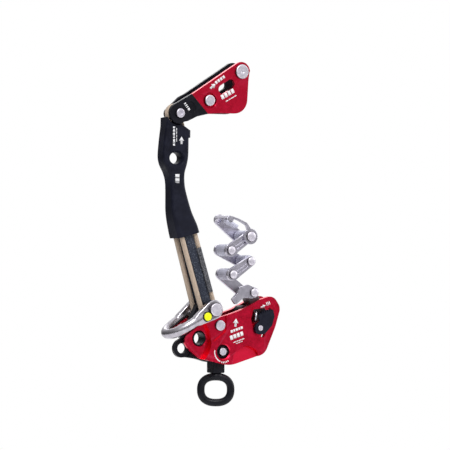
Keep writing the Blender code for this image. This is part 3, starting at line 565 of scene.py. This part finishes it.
def boolean(target, other, operation):
    modifier = target.modifiers.new(operation, "BOOLEAN")
    modifier.operation = operation
    modifier.object = other
    keep_modifiers(target)
    bpy.data.objects.remove(other)
    return target


def keep_modifiers(piece):
    """Turns a piece's modifiers into its mesh."""
    bpy.context.view_layer.update()
    graph = bpy.context.evaluated_depsgraph_get()
    piece.data = bpy.data.meshes.new_from_object(piece.evaluated_get(graph))
    piece.modifiers.clear()
    return piece


def cut(target, *others):
    for other in others:
        boolean(target, other, "DIFFERENCE")
    return target


def join(target, *others):
    for other in others:
        boolean(target, other, "UNION")
    return target


def hole(target, centre, radius, y0=-THROUGH, y1=THROUGH):
    return cut(target, prism("hole", disc(centre, radius, 40), y0, y1))


def countersunk(target, centre, radius, face, flare, side):
    """Hole whose mouth opens out over the last of its depth, on one face of a plate."""
    start, beyond = -side * 40, 3  # past the plate's far face, and outside its near one
    rings = [disc(centre, r) for r in (radius, radius, radius + flare, radius + flare + beyond)]
    depths = (start, face - side * flare, face, face + side * beyond)
    return cut(target, stacked("hole", rings, depths))


def bevelled(piece, width, segments=2, angle=30):
    """Rounds a piece's sharp edges a little, as a machined part's are."""
    weld = piece.modifiers.new("weld", "WELD")
    weld.merge_threshold = 0.01 * MM
    flat = piece.modifiers.new("flat", "DECIMATE")
    flat.decimate_type = "DISSOLVE"
    flat.angle_limit = math.radians(0.5)
    edge = piece.modifiers.new("edge", "BEVEL")
    edge.width = width * MM
    edge.segments = segments
    edge.limit_method = "ANGLE"
    edge.angle_limit = math.radians(angle)
    edge.use_clamp_overlap = True
    edge.harden_normals = False
    piece.data.shade_smooth()
    normals = piece.modifiers.new("normals", "WEIGHTED_NORMAL")
    normals.keep_sharp = True
    return piece


def cast(piece, grain, rounds):
    """Turns overlapping solids into one soft-edged casting, smoothed in so many rounds."""
    modifier = piece.modifiers.new("cast", "REMESH")
    modifier.mode = "VOXEL"
    modifier.voxel_size = grain * MM
    modifier.use_smooth_shade = True
    smooth = piece.modifiers.new("smooth", "SMOOTH")
    smooth.factor = 0.5
    smooth.iterations = rounds
    return keep_modifiers(piece)


def merged(name, *pieces):
    """One object of several closed bodies, which may overlap."""
    bm = bmesh.new()
    for piece in pieces:
        bm.from_mesh(piece.data)
        bpy.data.objects.remove(piece)
    return finish_mesh(name, bm)


def show(piece, look, body, replaces=()):
    """Finishes a piece: its material, its body and the CAD nodes that it stands for."""
    piece.data.materials.clear()
    piece.data.materials.append(look)
    for face in piece.data.polygons:
        face.use_smooth = True
    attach(piece, body)
    if replaces:
        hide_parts(*replaces)
    return piece


# ---- printed marks

PRINT_GAP, PRINT_DEPTH = 0.02, 0.06


def mark(name, outline, face):
    """A printed shape just off a plate's front face."""
    return prism(name, outline, face - (PRINT_GAP + PRINT_DEPTH), face - PRINT_GAP)


def axes_at(slope):
    """The direction of a slope in degrees, and the one square to it on its left."""
    along = Vector((math.cos(math.radians(slope)), math.sin(math.radians(slope))))
    return along, Vector((-along.y, along.x))


def arrow(foot, slope, length, width):
    """Outline of a plain arrow from its foot, pointing along a slope in degrees."""
    along, left = axes_at(slope)
    foot, across = Vector(foot), left * width / 2
    shaft = across * 0.4
    neck, tip = foot + along * length * 0.45, foot + along * length
    return [tuple(p) for p in (foot + shaft, neck + shaft, neck + across, tip,
                               neck - across, neck - shaft, foot - shaft)]


def dashes(start, slope, lengths, height, gap=0.7):
    """Outlines of dashes in a row from a start point, along a slope in degrees."""
    along, left = axes_at(slope)
    up = left * height
    place, made = Vector(start), []
    for length in lengths:
        end = place + along * length
        made.append([tuple(p) for p in (place, end, end + up, place + up)])
        place = end + along * gap
    return made


def arc_band(centre, radius, width, start, end):
    outer, inner = radius + width / 2, radius - width / 2
    return arc(centre, outer, start, end, 5) + arc(centre, inner, end, start, 5)


def add_marks(name, outlines, face, body):
    """All the marks of one plate, as one piece."""
    marks = [mark(f"{name}_{i}", outline, face) for i, outline in enumerate(outlines)]
    show(merged(name, *marks), PRINT, body)


# ---- lower body

def cheek_outline(side):
    left = ((-54.4, -0.5, 7.5), (-48.6, -14.5, 9))
    if side == FRONT:
        left = ((-61.0, -0.5, 7.5), (-53.0, -11.5, 12))
    return rounded((
        *left, (-42.0, -20.4, 20), (-10.0, -28.2, 30), (31.0, -17.2, 13), (43.3, 10.0, 30),
        (49.3, 29.0, 9), (40.5, 41.5, 9), (24.0, 36.8, 25), (3.0, 27.0, 60), (-36.5, 15.5, 14),
    ), step=5)


def cheek(name, side):
    """One cheek: a thick plate with a thin lobe, stepped inwards, round the attachment hole."""
    whole = sorted((side * LOBE_IN, side * CHEEK_OUT))
    made = prism(name, cheek_outline(side), *whole, rim=1.5, segments=5)
    outside = sorted((side * LOBE_OUT, side * (CHEEK_OUT + 10)))
    cut(made, prism("step", disc(STEP_CENTRE, STEP_RADIUS, 96), *outside))
    inside = sorted((side * (LOBE_IN - 2), side * CHEEK_IN))
    hollow = prism("hollow", [(-100, -100), (100, -100), (100, 100), (-100, 100)], *inside)
    lobe = disc(STEP_CENTRE, STEP_RADIUS + STEP_WALL, 96)
    cut(hollow, prism("lobe", lobe, -THROUGH, THROUGH))
    cut(made, hollow)
    hole(made, RIVET, RIVET_RADIUS + FIT)
    return countersunk(made, ATTACHMENT, ATTACHMENT_RADIUS, side * LOBE_OUT, 0.7, side)


def front_cheek():
    """Has the shackle's pocket, the adjuster's recess, the latch's window and tab, and a scoop."""
    made = cheek("front_cheek.shown", FRONT)
    face = -CHEEK_OUT
    pocket = rounded(((-13.4, 34, 0), (-13.4, 6.5, 6), (-27.5, -3.5, 2), (-45, -3.5, 0),
                      (-45, 34, 0)))
    cut(made, prism("pocket", pocket, face - 2, face + 1.5))
    recess = [disc(ADJUSTER, r, 64) for r in (9.4, 7.6, 7.0, 7.0)]
    cut(made, stacked("recess", recess, (face - 1.2, face + 0.5, face + 1.1, face + RECESS_DEPTH)))
    window = rounded(((17.5, 27.5, 2), (38.4, 29.5, 3), (38.6, 20.0, 6), (30.0, -0.8, 2),
                      (19.0, 0.6, 5), (14.8, 18.0, 5)))
    cut(made, prism("window", window, -THROUGH, 0))
    tab = strap(LATCH_PIVOT, (19.5, -2.0), 4.6, 5.0)
    join(made, prism("tab", tab, -CHEEK_IN - 2.4, -CHEEK_IN, rim=0.4))
    hole(made, LATCH_PIVOT, SCREW_RADIUS + FIT)
    outline = rounded(((-8, -40, 0), (25, -40, 0), (22.5, -14, 9), (9.5, -8.5, 8), (-5.5, -17, 8)))
    scoop = prism("scoop", outline, -9, 0)
    tilt = Matrix.Rotation(-math.atan(SCOOP_SLOPE), 4, "X")
    foot = Matrix.Translation((0, (face - SCOOP_SLOPE * SCOOP_FOOT_Z) * MM, 0))
    scoop.data.transform(foot @ tilt)
    cut(made, scoop)
    crease = [(13.4, 22.4), (14.2, 22.0), (17.4, 30.8), (16.6, 31.2)]
    cut(made, prism("crease", crease, face - 2, face + 0.45))
    show(bevelled(made, 0.5, 3), RED, "gate", ("front_cheek",))


def cheek_marks():
    """Plain arrows, dashes and a dial arc stand where the real cheek is printed."""
    outlines = [arrow((-3.4, 10.6), 84, 8.2, 6.4), arrow((26.0, 29.4), 20, 6.2, 3.6)]
    outlines += dashes((-8.4, 4.4), 17, (2.6, 2.0, 2.6, 1.8, 2.6), 2.6)
    outlines += dashes((-8.8, -2.6), 17, 4 * (3.2,), 4.2, 0.9)
    outlines += dashes((-5.6, -5.6), 17, (3.2, 2.0, 3.6, 2.8), 0.9, 0.5)
    outlines += dashes((-2.6, -6.6), 17, (2.2, 3.0, 1.8), 0.7, 0.5)
    outlines += dashes((33.2, 30.8), 20, 3 * (0.9,), 3.4, 0.8)
    outlines.append(arc_band(ADJUSTER, 10.3, 1.0, 170, 248))
    for start in (256, 266, 276, 286, 296):
        outlines.append(arc_band(ADJUSTER, 10.6, 1.7, start, start + 5))
    add_marks("cheek_marks", outlines, -CHEEK_OUT, "gate")


def recess_washer():
    """Dark washer on the floor of the adjuster's recess."""
    floor = -CHEEK_OUT + RECESS_DEPTH
    made = prism("recess_washer", disc(ADJUSTER, 6.9), floor - 0.9, floor + 0.4, rim=0.2)
    show(hole(made, ADJUSTER, 4.15), BLACK, "gate")


def rear_cheek():
    made = cheek("rear_cheek.shown", REAR)
    hole(made, LEVER_AXLE, RIVET_RADIUS + FIT)
    for centre in BOLLARDS:
        hole(made, centre, BOLLARD_SCREW_RADIUS + FIT)
    show(bevelled(made, 0.5, 3), RED, "frame", ("rear_cheek",))


def latch():
    """Thumb latch with a serrated top and a hub in the window, and the end of its spring."""
    outline = rounded(((17.6, 2.4, 5), (18.8, 12.2, 3), (23.4, 15.6, 2), (22.0, 21.5, 1.5),
                       (29.0, 26.6, 3), (39.2, 27.4, 2), (40.6, 20.0, 3), (37.6, 11.0, 5),
                       (29.0, 2.6, 5)))
    back = -CHEEK_OUT - 0.3
    made = prism("latch.shown", outline, back - 2.6, back, rim=1.0)
    join(made, turned("hub", LATCH_PIVOT, ((4.4, back - 1.2), (4.4, -CHEEK_IN - 2.7))))
    hole(made, LATCH_PIVOT, 3.2, -THROUGH, -CHEEK_OUT - 1.6)
    hole(made, LATCH_PIVOT, SCREW_RADIUS + FIT)
    for i in range(6):
        x = 24.6 + i * 2.4
        z = 23.4 + 3.9 * math.sin(math.radians(15 * i + 8))
        notch = strap((x - 0.5, z + 1.4), (x + 0.6, z - 1.0), 0.5, 0.5)
        cut(made, prism("notch", notch, back - 5, back - 1.9))
    show(bevelled(made, 0.3), PLASTIC, "thumb_latch", ("latch",))
    sliver = rounded(((19.6, 16.4, 0.5), (20.9, 24.2, 0.5), (22.6, 24.4, 0.5), (21.8, 16.4, 0.5)))
    spring = prism("latch_spring", sliver, -CHEEK_OUT + 0.6, -CHEEK_OUT + 2.2, rim=0.2)
    show(spring, CAST, "gate")


# ---- swivel

def swivel_eye():
    ahead = Vector((math.cos(SWIVEL_TURN), math.sin(SWIVEL_TURN), 0))
    up = Vector((0, 0, 1))
    centre = Vector((*SWIVEL, EYE_CENTRE_Z))
    path = [centre + ahead * EYE_HALF_WIDTH * squared(math.cos(a), EYE_FULLNESS)
            + up * EYE_HALF_HEIGHT * squared(math.sin(a), EYE_FULLNESS) for a in whole_turn(90)]
    ring = sweep("ring", path, ahead.cross(up), EYE_ROD, EYE_ROD, closed=True)
    top = SWIVEL_BOTTOM - 0.3
    profile = ((3.0, top + 10.5), (3.0, top), (5.6, top), (6.6, top - 1.2), (7.2, top - 3.4),
               (5.6, top - 6.6))
    stem = turned("stem", SWIVEL, profile, "Z")
    made = cast(merged("swivel_eye.shown", ring, stem), 0.45, 4)
    show(made, BLACK, "swivel", ("swivel_eye",))


# ---- friction chain

def link_plate(number):
    """Plate with two shallow grooves. Even links have it behind, and odd ones in front."""
    name, upper, lower = f"link_plate_{number}", CHAIN[number], CHAIN[number + 1]
    side = REAR if number % 2 == 0 else FRONT
    ends = FRONT_LINK_ENDS if side == FRONT else REAR_LINK_ENDS
    depths = sorted((side * LINK_IN, side * LINK_OUT))
    made = prism(f"{name}.shown", strap(upper, lower, *ends), *depths, rim=0.9)
    along = Vector(lower) - Vector(upper)
    across = Vector((along.y, -along.x)).normalized()
    start, end = Vector(upper) + along * 0.27, Vector(upper) + along * 0.73
    outer = sorted((side * (LINK_OUT - 1.0), side * (LINK_OUT + 2)))
    for offset in (-1.9, 1.3):
        groove = strap(start + across * offset, end + across * offset, 0.9, 0.9)
        cut(made, prism("groove", groove, *outer))
    for centre in (upper, lower):
        hole(made, centre, LINK_PIN_RADIUS + FIT)
    show(bevelled(made, 0.3), CAST, f"link_{number}", (name,))


def link_barrel(number):
    """Cross barrel with round shoulders and a turned neck behind the front plate."""
    name, centre = f"link_barrel_{number}", CHAIN[number]
    half, radius = LINK_IN - 0.3, BARREL_RADIUS
    profile = ((radius - 1.0, -half), (radius - 0.3, -half + 0.3), (radius, -half + 1.0),
               (radius, -half + 3.0), (radius - 0.35, -half + 3.5), (radius, -half + 4.0),
               (radius, half - 1.8), (radius - 0.5, half - 0.6), (radius - 1.6, half))
    made = hole(turned(f"{name}.shown", centre, profile), centre, LINK_PIN_RADIUS + FIT)
    show(bevelled(made, 0.2, 1), BLASTED, f"link_{number}", (name,))


def link_pin(number):
    """Domed head on a round shank, peened flat behind."""
    name, centre, head = f"link_pin_{number}", CHAIN[number], LINK_HEADS[number - 1]
    front, back = (-LINK_OUT if number > 1 else -CAP_OUT) - 0.3, LINK_OUT + 0.3
    dome = [(head * math.cos(math.radians(a)), front - 0.9 - 1.6 * math.sin(math.radians(a)))
            for a in (86, 70, 54, 38, 22, 8, 0)]
    profile = (*dome, (head, front), (LINK_PIN_RADIUS, front), (LINK_PIN_RADIUS, back),
               (3.9, back), (3.9, back + 0.7), (3.3, back + 1.2))
    body = f"link_{number}" if number < 5 else "lever"
    made = turned(f"{name}.shown", centre, profile)
    look = headed_steel(f"{name}_steel", centre, head)
    show(bevelled(made, 0.15, 1), look, body, (name,))


def lever():
    """The lever's front leaf, which runs from the last joint to a blunt toe on the left."""
    toe = rounded(((20.7, 49.1, 0), (11.0, 52.5, 3), (1.8, 50.0, 2), (-0.8, 44.0, 3),
                   (-7.6, 38.0, 1.6), (-3.0, 32.4, 1.6), (5.9, 39.2, 3), (16.4, 39.2, 0)))
    outline = arc(CHAIN[5], 5.4, -110, 62) + toe[1:-1]
    leaf = prism("lever_leaf.shown", outline, -LINK_OUT, -LINK_IN, rim=0.9)
    hole(leaf, CHAIN[5], LINK_PIN_RADIUS + FIT)
    show(bevelled(leaf, 0.3), CAST, "lever", ("lever_leaf",))


def chain_cap():
    """Rear plate, cross post with a hollow and a bar, and the rail and ear in front."""
    left, right = CHAIN[0], CHAIN[1]
    post = rounded(((-15.6, 118.0, 2), (-11.6, 121.6, 1), (-5.0, 120.0, 1), (-9.5, 112.5, 3)))
    bar = rounded(((-13.6, 118.4, 0.6), (-15.6, 115.0, 0.6), (-3.2, 108.2, 0.6),
                   (-1.2, 111.6, 0.6)))
    rail = rounded(((-12.5, 121.4, 0), (-12.0, 119.6, 0), (-2.0, 116.6, 6), (7.0, 111.8, 3),
                    (9.4, 106.0, 0), (14.0, 107.6, 0), (8.6, 114.4, 4), (-2.0, 119.0, 8)))
    made = merged("chain_cap.shown",
                  prism("plate", strap(left, right, 5.6, 6.4), LINK_IN, LINK_OUT, rim=0.7),
                  prism("post", post, -CAP_OUT, LINK_IN + 1.0, rim=0.5),
                  prism("ear", disc(right, 7.9), -CAP_OUT, -CAP_IN, rim=0.5),
                  prism("rail", rail, -CAP_OUT, -CAP_IN))
    made = hole(cast(made, 0.3, 1), right, LINK_PIN_RADIUS + FIT)
    hollow = rounded(((-22, 118.6, 0), (-5.6, 118.6, 1), (-5.6, 104, 0), (-22, 104, 0)))
    cut(made, prism("hollow", hollow, -12.6, 7.4))
    show(made, CAST, "cap", ("chain_cap",))
    show(prism("cap_bar", bar, -CAP_OUT, -LINK_IN + 0.4, rim=0.5), BLASTED, "cap")


def friction_chain():
    for number in (1, 2, 3, 4):
        link_plate(number)
        link_barrel(number)
        link_pin(number)
    link_pin(5)
    lever()
    chain_cap()


# ---- shackle

def shackle_point(reach, y):
    """Point at a distance from the shackle's pin towards the end of its bow."""
    x, z = SHACKLE_PIN
    return (x + reach * math.cos(SHACKLE_SLOPE), y, z + reach * math.sin(SHACKLE_SLOPE))


def shackle():
    """Forged bow between two ears; the front ear holds the lock button."""
    angles = [math.radians(-90 + 3 * i) for i in range(61)]
    bend = [shackle_point(BOW_ROOT + (BOW_REACH - BOW_ROOT) * squared(math.cos(a), BOW_FULLNESS),
                          BOW_HALF * squared(math.sin(a), BOW_FULLNESS)) for a in angles]
    path = [shackle_point(4.0, -LEG_START), *bend, shackle_point(4.0, LEG_START)]
    normal = Vector((math.cos(SHACKLE_SLOPE), 0, math.sin(SHACKLE_SLOPE))).cross((0, 1, 0))
    bow = sweep("bow", path, normal, *BOW_ROD)
    x, _, z = shackle_point(20.0, 0)
    ears = [prism("ear", strap(SHACKLE_PIN, (x, z), 9.7, 5.6), y0, y1, rim=1.6)
            for y0, y1 in ((-EAR_OUT, -EAR_IN), (EAR_IN, EAR_OUT))]
    made = cast(merged("shackle_bow.shown", bow, *ears), 0.5, 40)
    hole(made, SHACKLE_PIN, SHACKLE_PIN_RADIUS + FIT)
    hole(made, BUTTON, BUTTON_HOLE_RADIUS, -EAR_OUT - 3, -EAR_OUT + BUTTON_HOLE_DEPTH)
    show(made, STEEL, "shackle", ("shackle_bow",))


# ---- tether

COS, SIN = math.cos(TETHER_SLOPE), math.sin(TETHER_SLOPE)


def beside(along, across):
    """Point at a distance up the tether from the shackle's pin, and to the right of its middle."""
    x, z = SHACKLE_PIN
    return (x + along * COS + across * SIN, z + along * SIN - across * COS)


def lean(piece, side):
    """Slopes a lower loop's piece towards the middle of the tether as it rises."""
    for vert in piece.data.vertices:
        rise = (vert.co.z / MM - SHACKLE_PIN[1]) / SIN
        vert.co.y -= side * LOOP_LEAN * rise / LOOP_LENGTH * MM
    return piece


def cloth_uvs(piece):
    """UVs of a flat strip of the tether, in millimetres across and along it."""
    layers = piece.data.uv_layers
    layer = layers[0] if layers else layers.new(name="cloth")
    for loop in piece.data.loops:
        place = piece.data.vertices[loop.vertex_index].co / MM
        x, z = place.x - SHACKLE_PIN[0], place.z - SHACKLE_PIN[1]
        layer.data[loop.index].uv = (x * SIN - z * COS, x * COS + z * SIN)
    return piece


def tether_loop(name, side):
    """Round cord that runs down one strand, under the shackle pin and up the other."""
    radius, across = (LOOP_OUT + LOOP_IN) / 2, (LOOP_OUT - LOOP_IN) / 2
    slope = math.degrees(TETHER_SLOPE)
    turn = arc(SHACKLE_PIN, radius, slope + 90, slope + 270)
    legs = [3.0 * k for k in range(1, 28)] + [LOOP_LENGTH]
    down = [beside(length, -radius) for length in reversed(legs)]
    up = [beside(length, radius) for length in legs]
    path = [(x, side * LOOP_CENTRE, z) for x, z in down + turn + up]
    made = sweep(f"{name}.shown", path, (0, 1, 0), across, LOOP_HALF, 20)
    show(lean(made, side), CORD, "tether", (name,))


def webbing(name, side):
    """Webbing sewn between the two strands of a loop, swelled a little along its middle."""
    start, half_width, half_depth = 7.0, LOOP_IN - 0.35, 2.0
    rings = []
    for i in range(25):
        ring = []
        for a in whole_turn(24):
            width = squared(math.cos(a), 4) * half_width
            depth = squared(math.sin(a), 2 / 0.7) * half_depth
            x, z = beside(start + i * (LOOP_LENGTH - start) / 24, width)
            ring.append((x, side * LOOP_CENTRE + depth, z))
        rings.append(ring)
    made = cloth_uvs(lean(skin(f"{name}.shown", rings), side))
    show(made, WEBBING, "tether", (name,))


def label():
    """Label sewn on the front loop's right strand."""
    inner, outer, low, high = LOOP_IN - 1.8, LOOP_OUT - 1.4, 16, 62
    outline = [beside(low, inner), beside(low, outer), beside(high, outer), beside(high, inner)]
    face = -LOOP_CENTRE - LOOP_HALF - 0.3
    made = prism("tether_label.shown", outline, face - 0.7, face, rim=0.2)
    show(cloth_uvs(lean(made, FRONT)), LABEL, "tether", ("tether_label",))


def tether_eye():
    """Cord round the wrench bolt, whose two strands run down into the housing, and its core."""
    bend = [(-57.2, 204.0), (-57.6, 210.0), *arc(BOLT, 7.35, -36, 192),
            (-72.4, 212.0), (-71.6, 204.0)]
    path = [(x, 0, z) for x, z in bend]
    made = sweep("tether_eye.shown", path, (0, 1, 0), 2.45, CORD_EYE_HALF - 0.1, 20)
    show(made, CORD, "tether", ("tether_eye",))
    outline = [(-71.0, 203.0), (-58.5, 203.0), *arc(BOLT, 5.2, -50, 230)]
    core = cloth_uvs(prism("tether_eye_core", outline, -3.2, 3.2, rim=0.5))
    show(core, WEBBING, "tether")


def housing_ring(z, left, right, half, tilt=0.0):
    """Rounded rectangle at one height of the housing, rising by `tilt` to its right."""
    radius = min(3.4, (right - left) / 2 - 0.2)
    corners = ((right - radius, half - radius, 0), (left + radius, half - radius, 90),
               (left + radius, radius - half, 180), (right - radius, radius - half, 270))
    flat = [point for x, y, start in corners for point in arc((x, y), radius, start, start + 90, 9)]
    return [(x, y, z + (x - left) * tilt) for x, y in flat]


def smooth_rows(rows, steps=5):
    """Rows between the given ones, on a smooth curve through them."""
    made = []
    for i in range(len(rows) - 1):
        nearby = (rows[max(i - 1, 0)], rows[i], rows[i + 1], rows[min(i + 2, len(rows) - 1)])
        before, start, end, after = (Vector(row) for row in nearby)
        for k in range(steps):
            t = k / steps
            made.append(tuple(0.5 * (2 * start + (end - before) * t
                                     + (2 * before - 5 * start + 4 * end - after) * t ** 2
                                     + (3 * start - before - 3 * end + after) * t ** 3)))
    return made + [tuple(rows[-1])]


def housing():
    """Moulded body of the tether, hollowed for its loops, its eye and the wrench.

    A row is a height, the left and right sides, half the depth and the rise to the right.
    """
    mouth = [(98.7, -66.4, -42.5, 10.5, 0.25), (99.1, -66.6, -42.3, 10.8, 0.25),
             (106.6, -68.6, -44.3, 10.6, 0.2), (107.1, -68.6, -44.5, 10.4, 0.2)]
    body = smooth_rows((
        (109, -69.2, -45.0, 10.4, 0.18), (118, -71.2, -48.2, 9.8, 0.1), (128, -72.6, -51.2, 9.1, 0),
        (146, -73.0, -56.4, 8.4, 0), (156, -73.8, -57.6, 8.0, 0), (164, -76.3, -57.2, 8.0, 0),
        (172, -80.4, -54.8, 8.0, 0), (181, -81.9, -53.2, 8.0, 0), (197.9, -80.3, -52.8, 8.0, 0),
    ))
    top = [(198.5, -80.2, -50.9, 8.0), (205.5, -79.2, -50.8, 8.0), (209.8, -78.6, -57.5, 8.0),
           (218, -77.3, -75.6, 8.0)]
    rings = [housing_ring(*row) for row in [*mouth, *body, *top]]
    made = skin("tether_housing.shown", rings)
    cut(made, prism("saddle", disc(BOLT, SADDLE_RADIUS, 72), -20, 20))
    dish = ((9.2, 8.2, -8.6), (7.9, 7.0, -7.2), (6.9, 5.9, -5.2), (6.4, 5.4, 0), (6.9, 5.9, 5.2),
            (7.9, 7.0, 7.2), (9.2, 8.2, 8.6))
    ovals = [oval(TETHER_SLOT, wide, high) for wide, high, _ in dish]
    cut(made, stacked("slot", ovals, [y for _, _, y in dish]))
    pocket = [(-74.0, 203.4), (-56.2, 203.4), (-55.1, 213.4), (-55.1, 225), (-75.4, 225),
              (-75.0, 216), (-74.0, 212)]
    cut(made, prism("pocket", pocket, -CORD_EYE_HALF - 0.3, CORD_EYE_HALF + 0.3))
    slope, wide, long = math.degrees(TETHER_SLOPE), LOOP_OUT + 0.4, LOOP_LENGTH + 0.5
    for side in (FRONT, REAR):
        outline = arc(SHACKLE_PIN, wide, slope + 90, slope + 270)
        outline += [beside(long, wide), beside(long, -wide)]
        centre, half = side * LOOP_CENTRE, LOOP_HALF + 0.3
        cut(made, lean(prism("socket", outline, centre - half, centre + half), side))
    show(bevelled(made, 0.5, 3, 38), PLASTIC, "tether", ("tether_housing",))


def saddle_liner():
    """Web between the housing's two walls, just under the cord eye."""
    outline, half = arc_band(BOLT, 11.25, 1.7, 200, 302), CORD_EYE_HALF + 0.2
    show(prism("saddle_liner", outline, -half, half), PLASTIC, "tether")


def housing_marks():
    """Plain dashes and an arrow stand where the real housing is printed."""
    outlines = dashes((-69.6, 190.0), 90, (2.2, 3.4, 1.6, 3.0, 2.4, 2.0), 2.2, 0.9)
    outlines += dashes((-67.4, 194.0), 90, (3.4, 2.2, 3.0, 2.4), 0.7, 0.8)
    outlines += [arrow((-62.2, 191.8), 90, 7.4, 5.6)]
    outlines += dashes((-64.6, 146.6), 90, 4 * (3.2,), 4.6, 0.9)
    add_marks("housing_marks", outlines, HOUSING_FACE, "tether")


def tether():
    for name, side in (("front", FRONT), ("rear", REAR)):
        tether_loop(f"{name}_loop", side)
        webbing(f"{name}_webbing", side)
    label()
    tether_eye()
    housing()
    saddle_liner()
    housing_marks()


# ---- wrench

def wrench_outline(arm_radius):
    return [*arc(WRENCH_SCREW, 9.7, -3, 121), (-49.9, 242.4), (-57.0, 239.0),
            *arc(BOLT, arm_radius, 108, 288), (-57.5, 215.6), (-46.4, 219.3), (-33.4, 222.2),
            (-20.0, 223.2), *arc((-3.0, 237.8), 14.6, -93, -5), (12.1, 244.0), (12.8, 254.9)]


def wrench_half(name, y0, y1, right_of_seam):
    """The front side's plate on one side of the seam: the red cheek on its right, or the arm."""
    made = prism(name, wrench_outline(ARM_RADIUS), y0, y1, rim=1.3)
    start, end = (Vector(point) for point in WRENCH_SEAM)
    along = (end - start).normalized()
    away = Vector((along.y, -along.x)) * (1 if right_of_seam else -1)
    gap = away * SEAM_HALF_GAP
    start, end = start - along * 60 + gap, end + along * 60 + gap
    seam = [start, end, end + away * 120, start + away * 120]
    return boolean(made, prism("side", seam, -THROUGH, THROUGH), "INTERSECT")


def wrench_slot():
    outline = strap(*WRENCH_SLOT, WRENCH_SLOT_HALF, WRENCH_SLOT_HALF)
    return prism("slot", outline, -THROUGH, THROUGH)


def wrench():
    """The red cheek and the black arm in front, and the black plate behind."""
    face = -WRENCH_OUT
    red = wrench_half("wrench_cheek.shown", face, -WRENCH_IN, True)
    recess = [disc(WRENCH_RIVET, r, 64) for r in (8.6, 7.3, 7.0)]
    cut(red, wrench_slot(), stacked("recess", recess, (face - 1.0, face + 0.5, face + 2.3)))
    arm = wrench_half("wrench_front_arm.shown", face - ARM_RAISE, -WRENCH_IN, False)
    dish = rounded(((-59.0, 221.5, 4), (-45.5, 224.0, 4), (-51.5, 235.0, 4), (-58.5, 232.0, 4)))
    cut(arm, prism("dish", dish, face - 4, face))
    outline = wrench_outline(REAR_ARM_RADIUS)
    rear = prism("wrench_rear_plate.shown", outline, WRENCH_IN, WRENCH_OUT, rim=0.9)
    cut(rear, wrench_slot())
    for plate in (red, rear):
        for centre in (WRENCH_RIVET, WRENCH_SCREW):
            hole(plate, centre, RIVET_RADIUS + FIT)
    for plate in (arm, rear):
        hole(plate, BOLT, BOLT_RADIUS + FIT)
    show(bevelled(red, 0.4, 3), RED, "wrench", ("wrench_cheek",))
    for plate, name in ((arm, "wrench_front_arm"), (rear, "wrench_rear_plate")):
        show(bevelled(plate, 0.4, 3), BLACK, "wrench", (name,))


def wrench_marks():
    """Plain arrow and dashes stand where the real wrench is printed."""
    outlines = [arrow((-31.0, 247.4), 40, 7.6, 5.2)]
    outlines += dashes((-24.6, 251.6), 33, 4 * (2.6,), 3.0, 0.8)
    outlines += dashes((-17.4, 236.6), 28, 4 * (3.3,), 4.6, 1.0)
    outlines += dashes((-13.2, 234.4), 28, (3.4, 2.0, 4.0, 2.8), 0.9, 0.6)
    add_marks("wrench_marks", outlines, -WRENCH_OUT, "wrench")
    outlines = dashes((-61.4, 231.4), -52, (1.2, 1.2, 1.2, 2.4), 2.4, 0.9)
    add_marks("arm_marks", outlines, -WRENCH_OUT - ARM_RAISE, "wrench")


# ---- CAD nodes that stay

LABEL = printed_label()
# Nodes whose look differs from the others' in their slot
SPECIAL = {
    "cheek_rivet": headed_steel("rivet_steel", RIVET, 5.4),
    "adjuster_pin": headed_steel("adjuster_steel", ADJUSTER, 4.0),
    "latch_screw": headed_steel("latch_screw_steel", LATCH_PIVOT, 2.9),
    "wrench_rivet": headed_steel("wrench_rivet_steel", WRENCH_RIVET, 5.6),
    "wrench_screw": headed_steel("wrench_screw_steel", WRENCH_SCREW, 7.3, 1.3),
    "wrench_bolt": headed_steel("wrench_bolt_steel", BOLT, 4.7),
    "shackle_pin": headed_steel("shackle_pin_steel", SHACKLE_PIN, 6.6),
    # Painted shade: the lever arm takes the darkened steel.
    "lever_arm": SHADED_STEEL,
}
LOOKS = {
    "red_anodised": RED, "black_anodised": BLACK, "bright_steel": STEEL, "cast_steel": CAST,
    "black_plastic": PLASTIC, "tan_cord": CORD, "black_webbing": WEBBING, "yellow_plastic": YELLOW,
}


def dress_nodes():
    """Gives every CAD node its material, and softens its edges."""
    for part in frame["record"]["subparts"]:
        name, slot = part["node"], part["material_slot"]
        nodes[name].data.materials.clear()
        nodes[name].data.materials.append(SPECIAL.get(name) or LOOKS[slot])
        bevelled(nodes[name], 0.3, angle=28)


def main():
    add_studio()
    dress_nodes()
    front_cheek()
    cheek_marks()
    recess_washer()
    rear_cheek()
    latch()
    swivel_eye()
    friction_chain()
    shackle()
    tether()
    wrench()
    wrench_marks()


main()
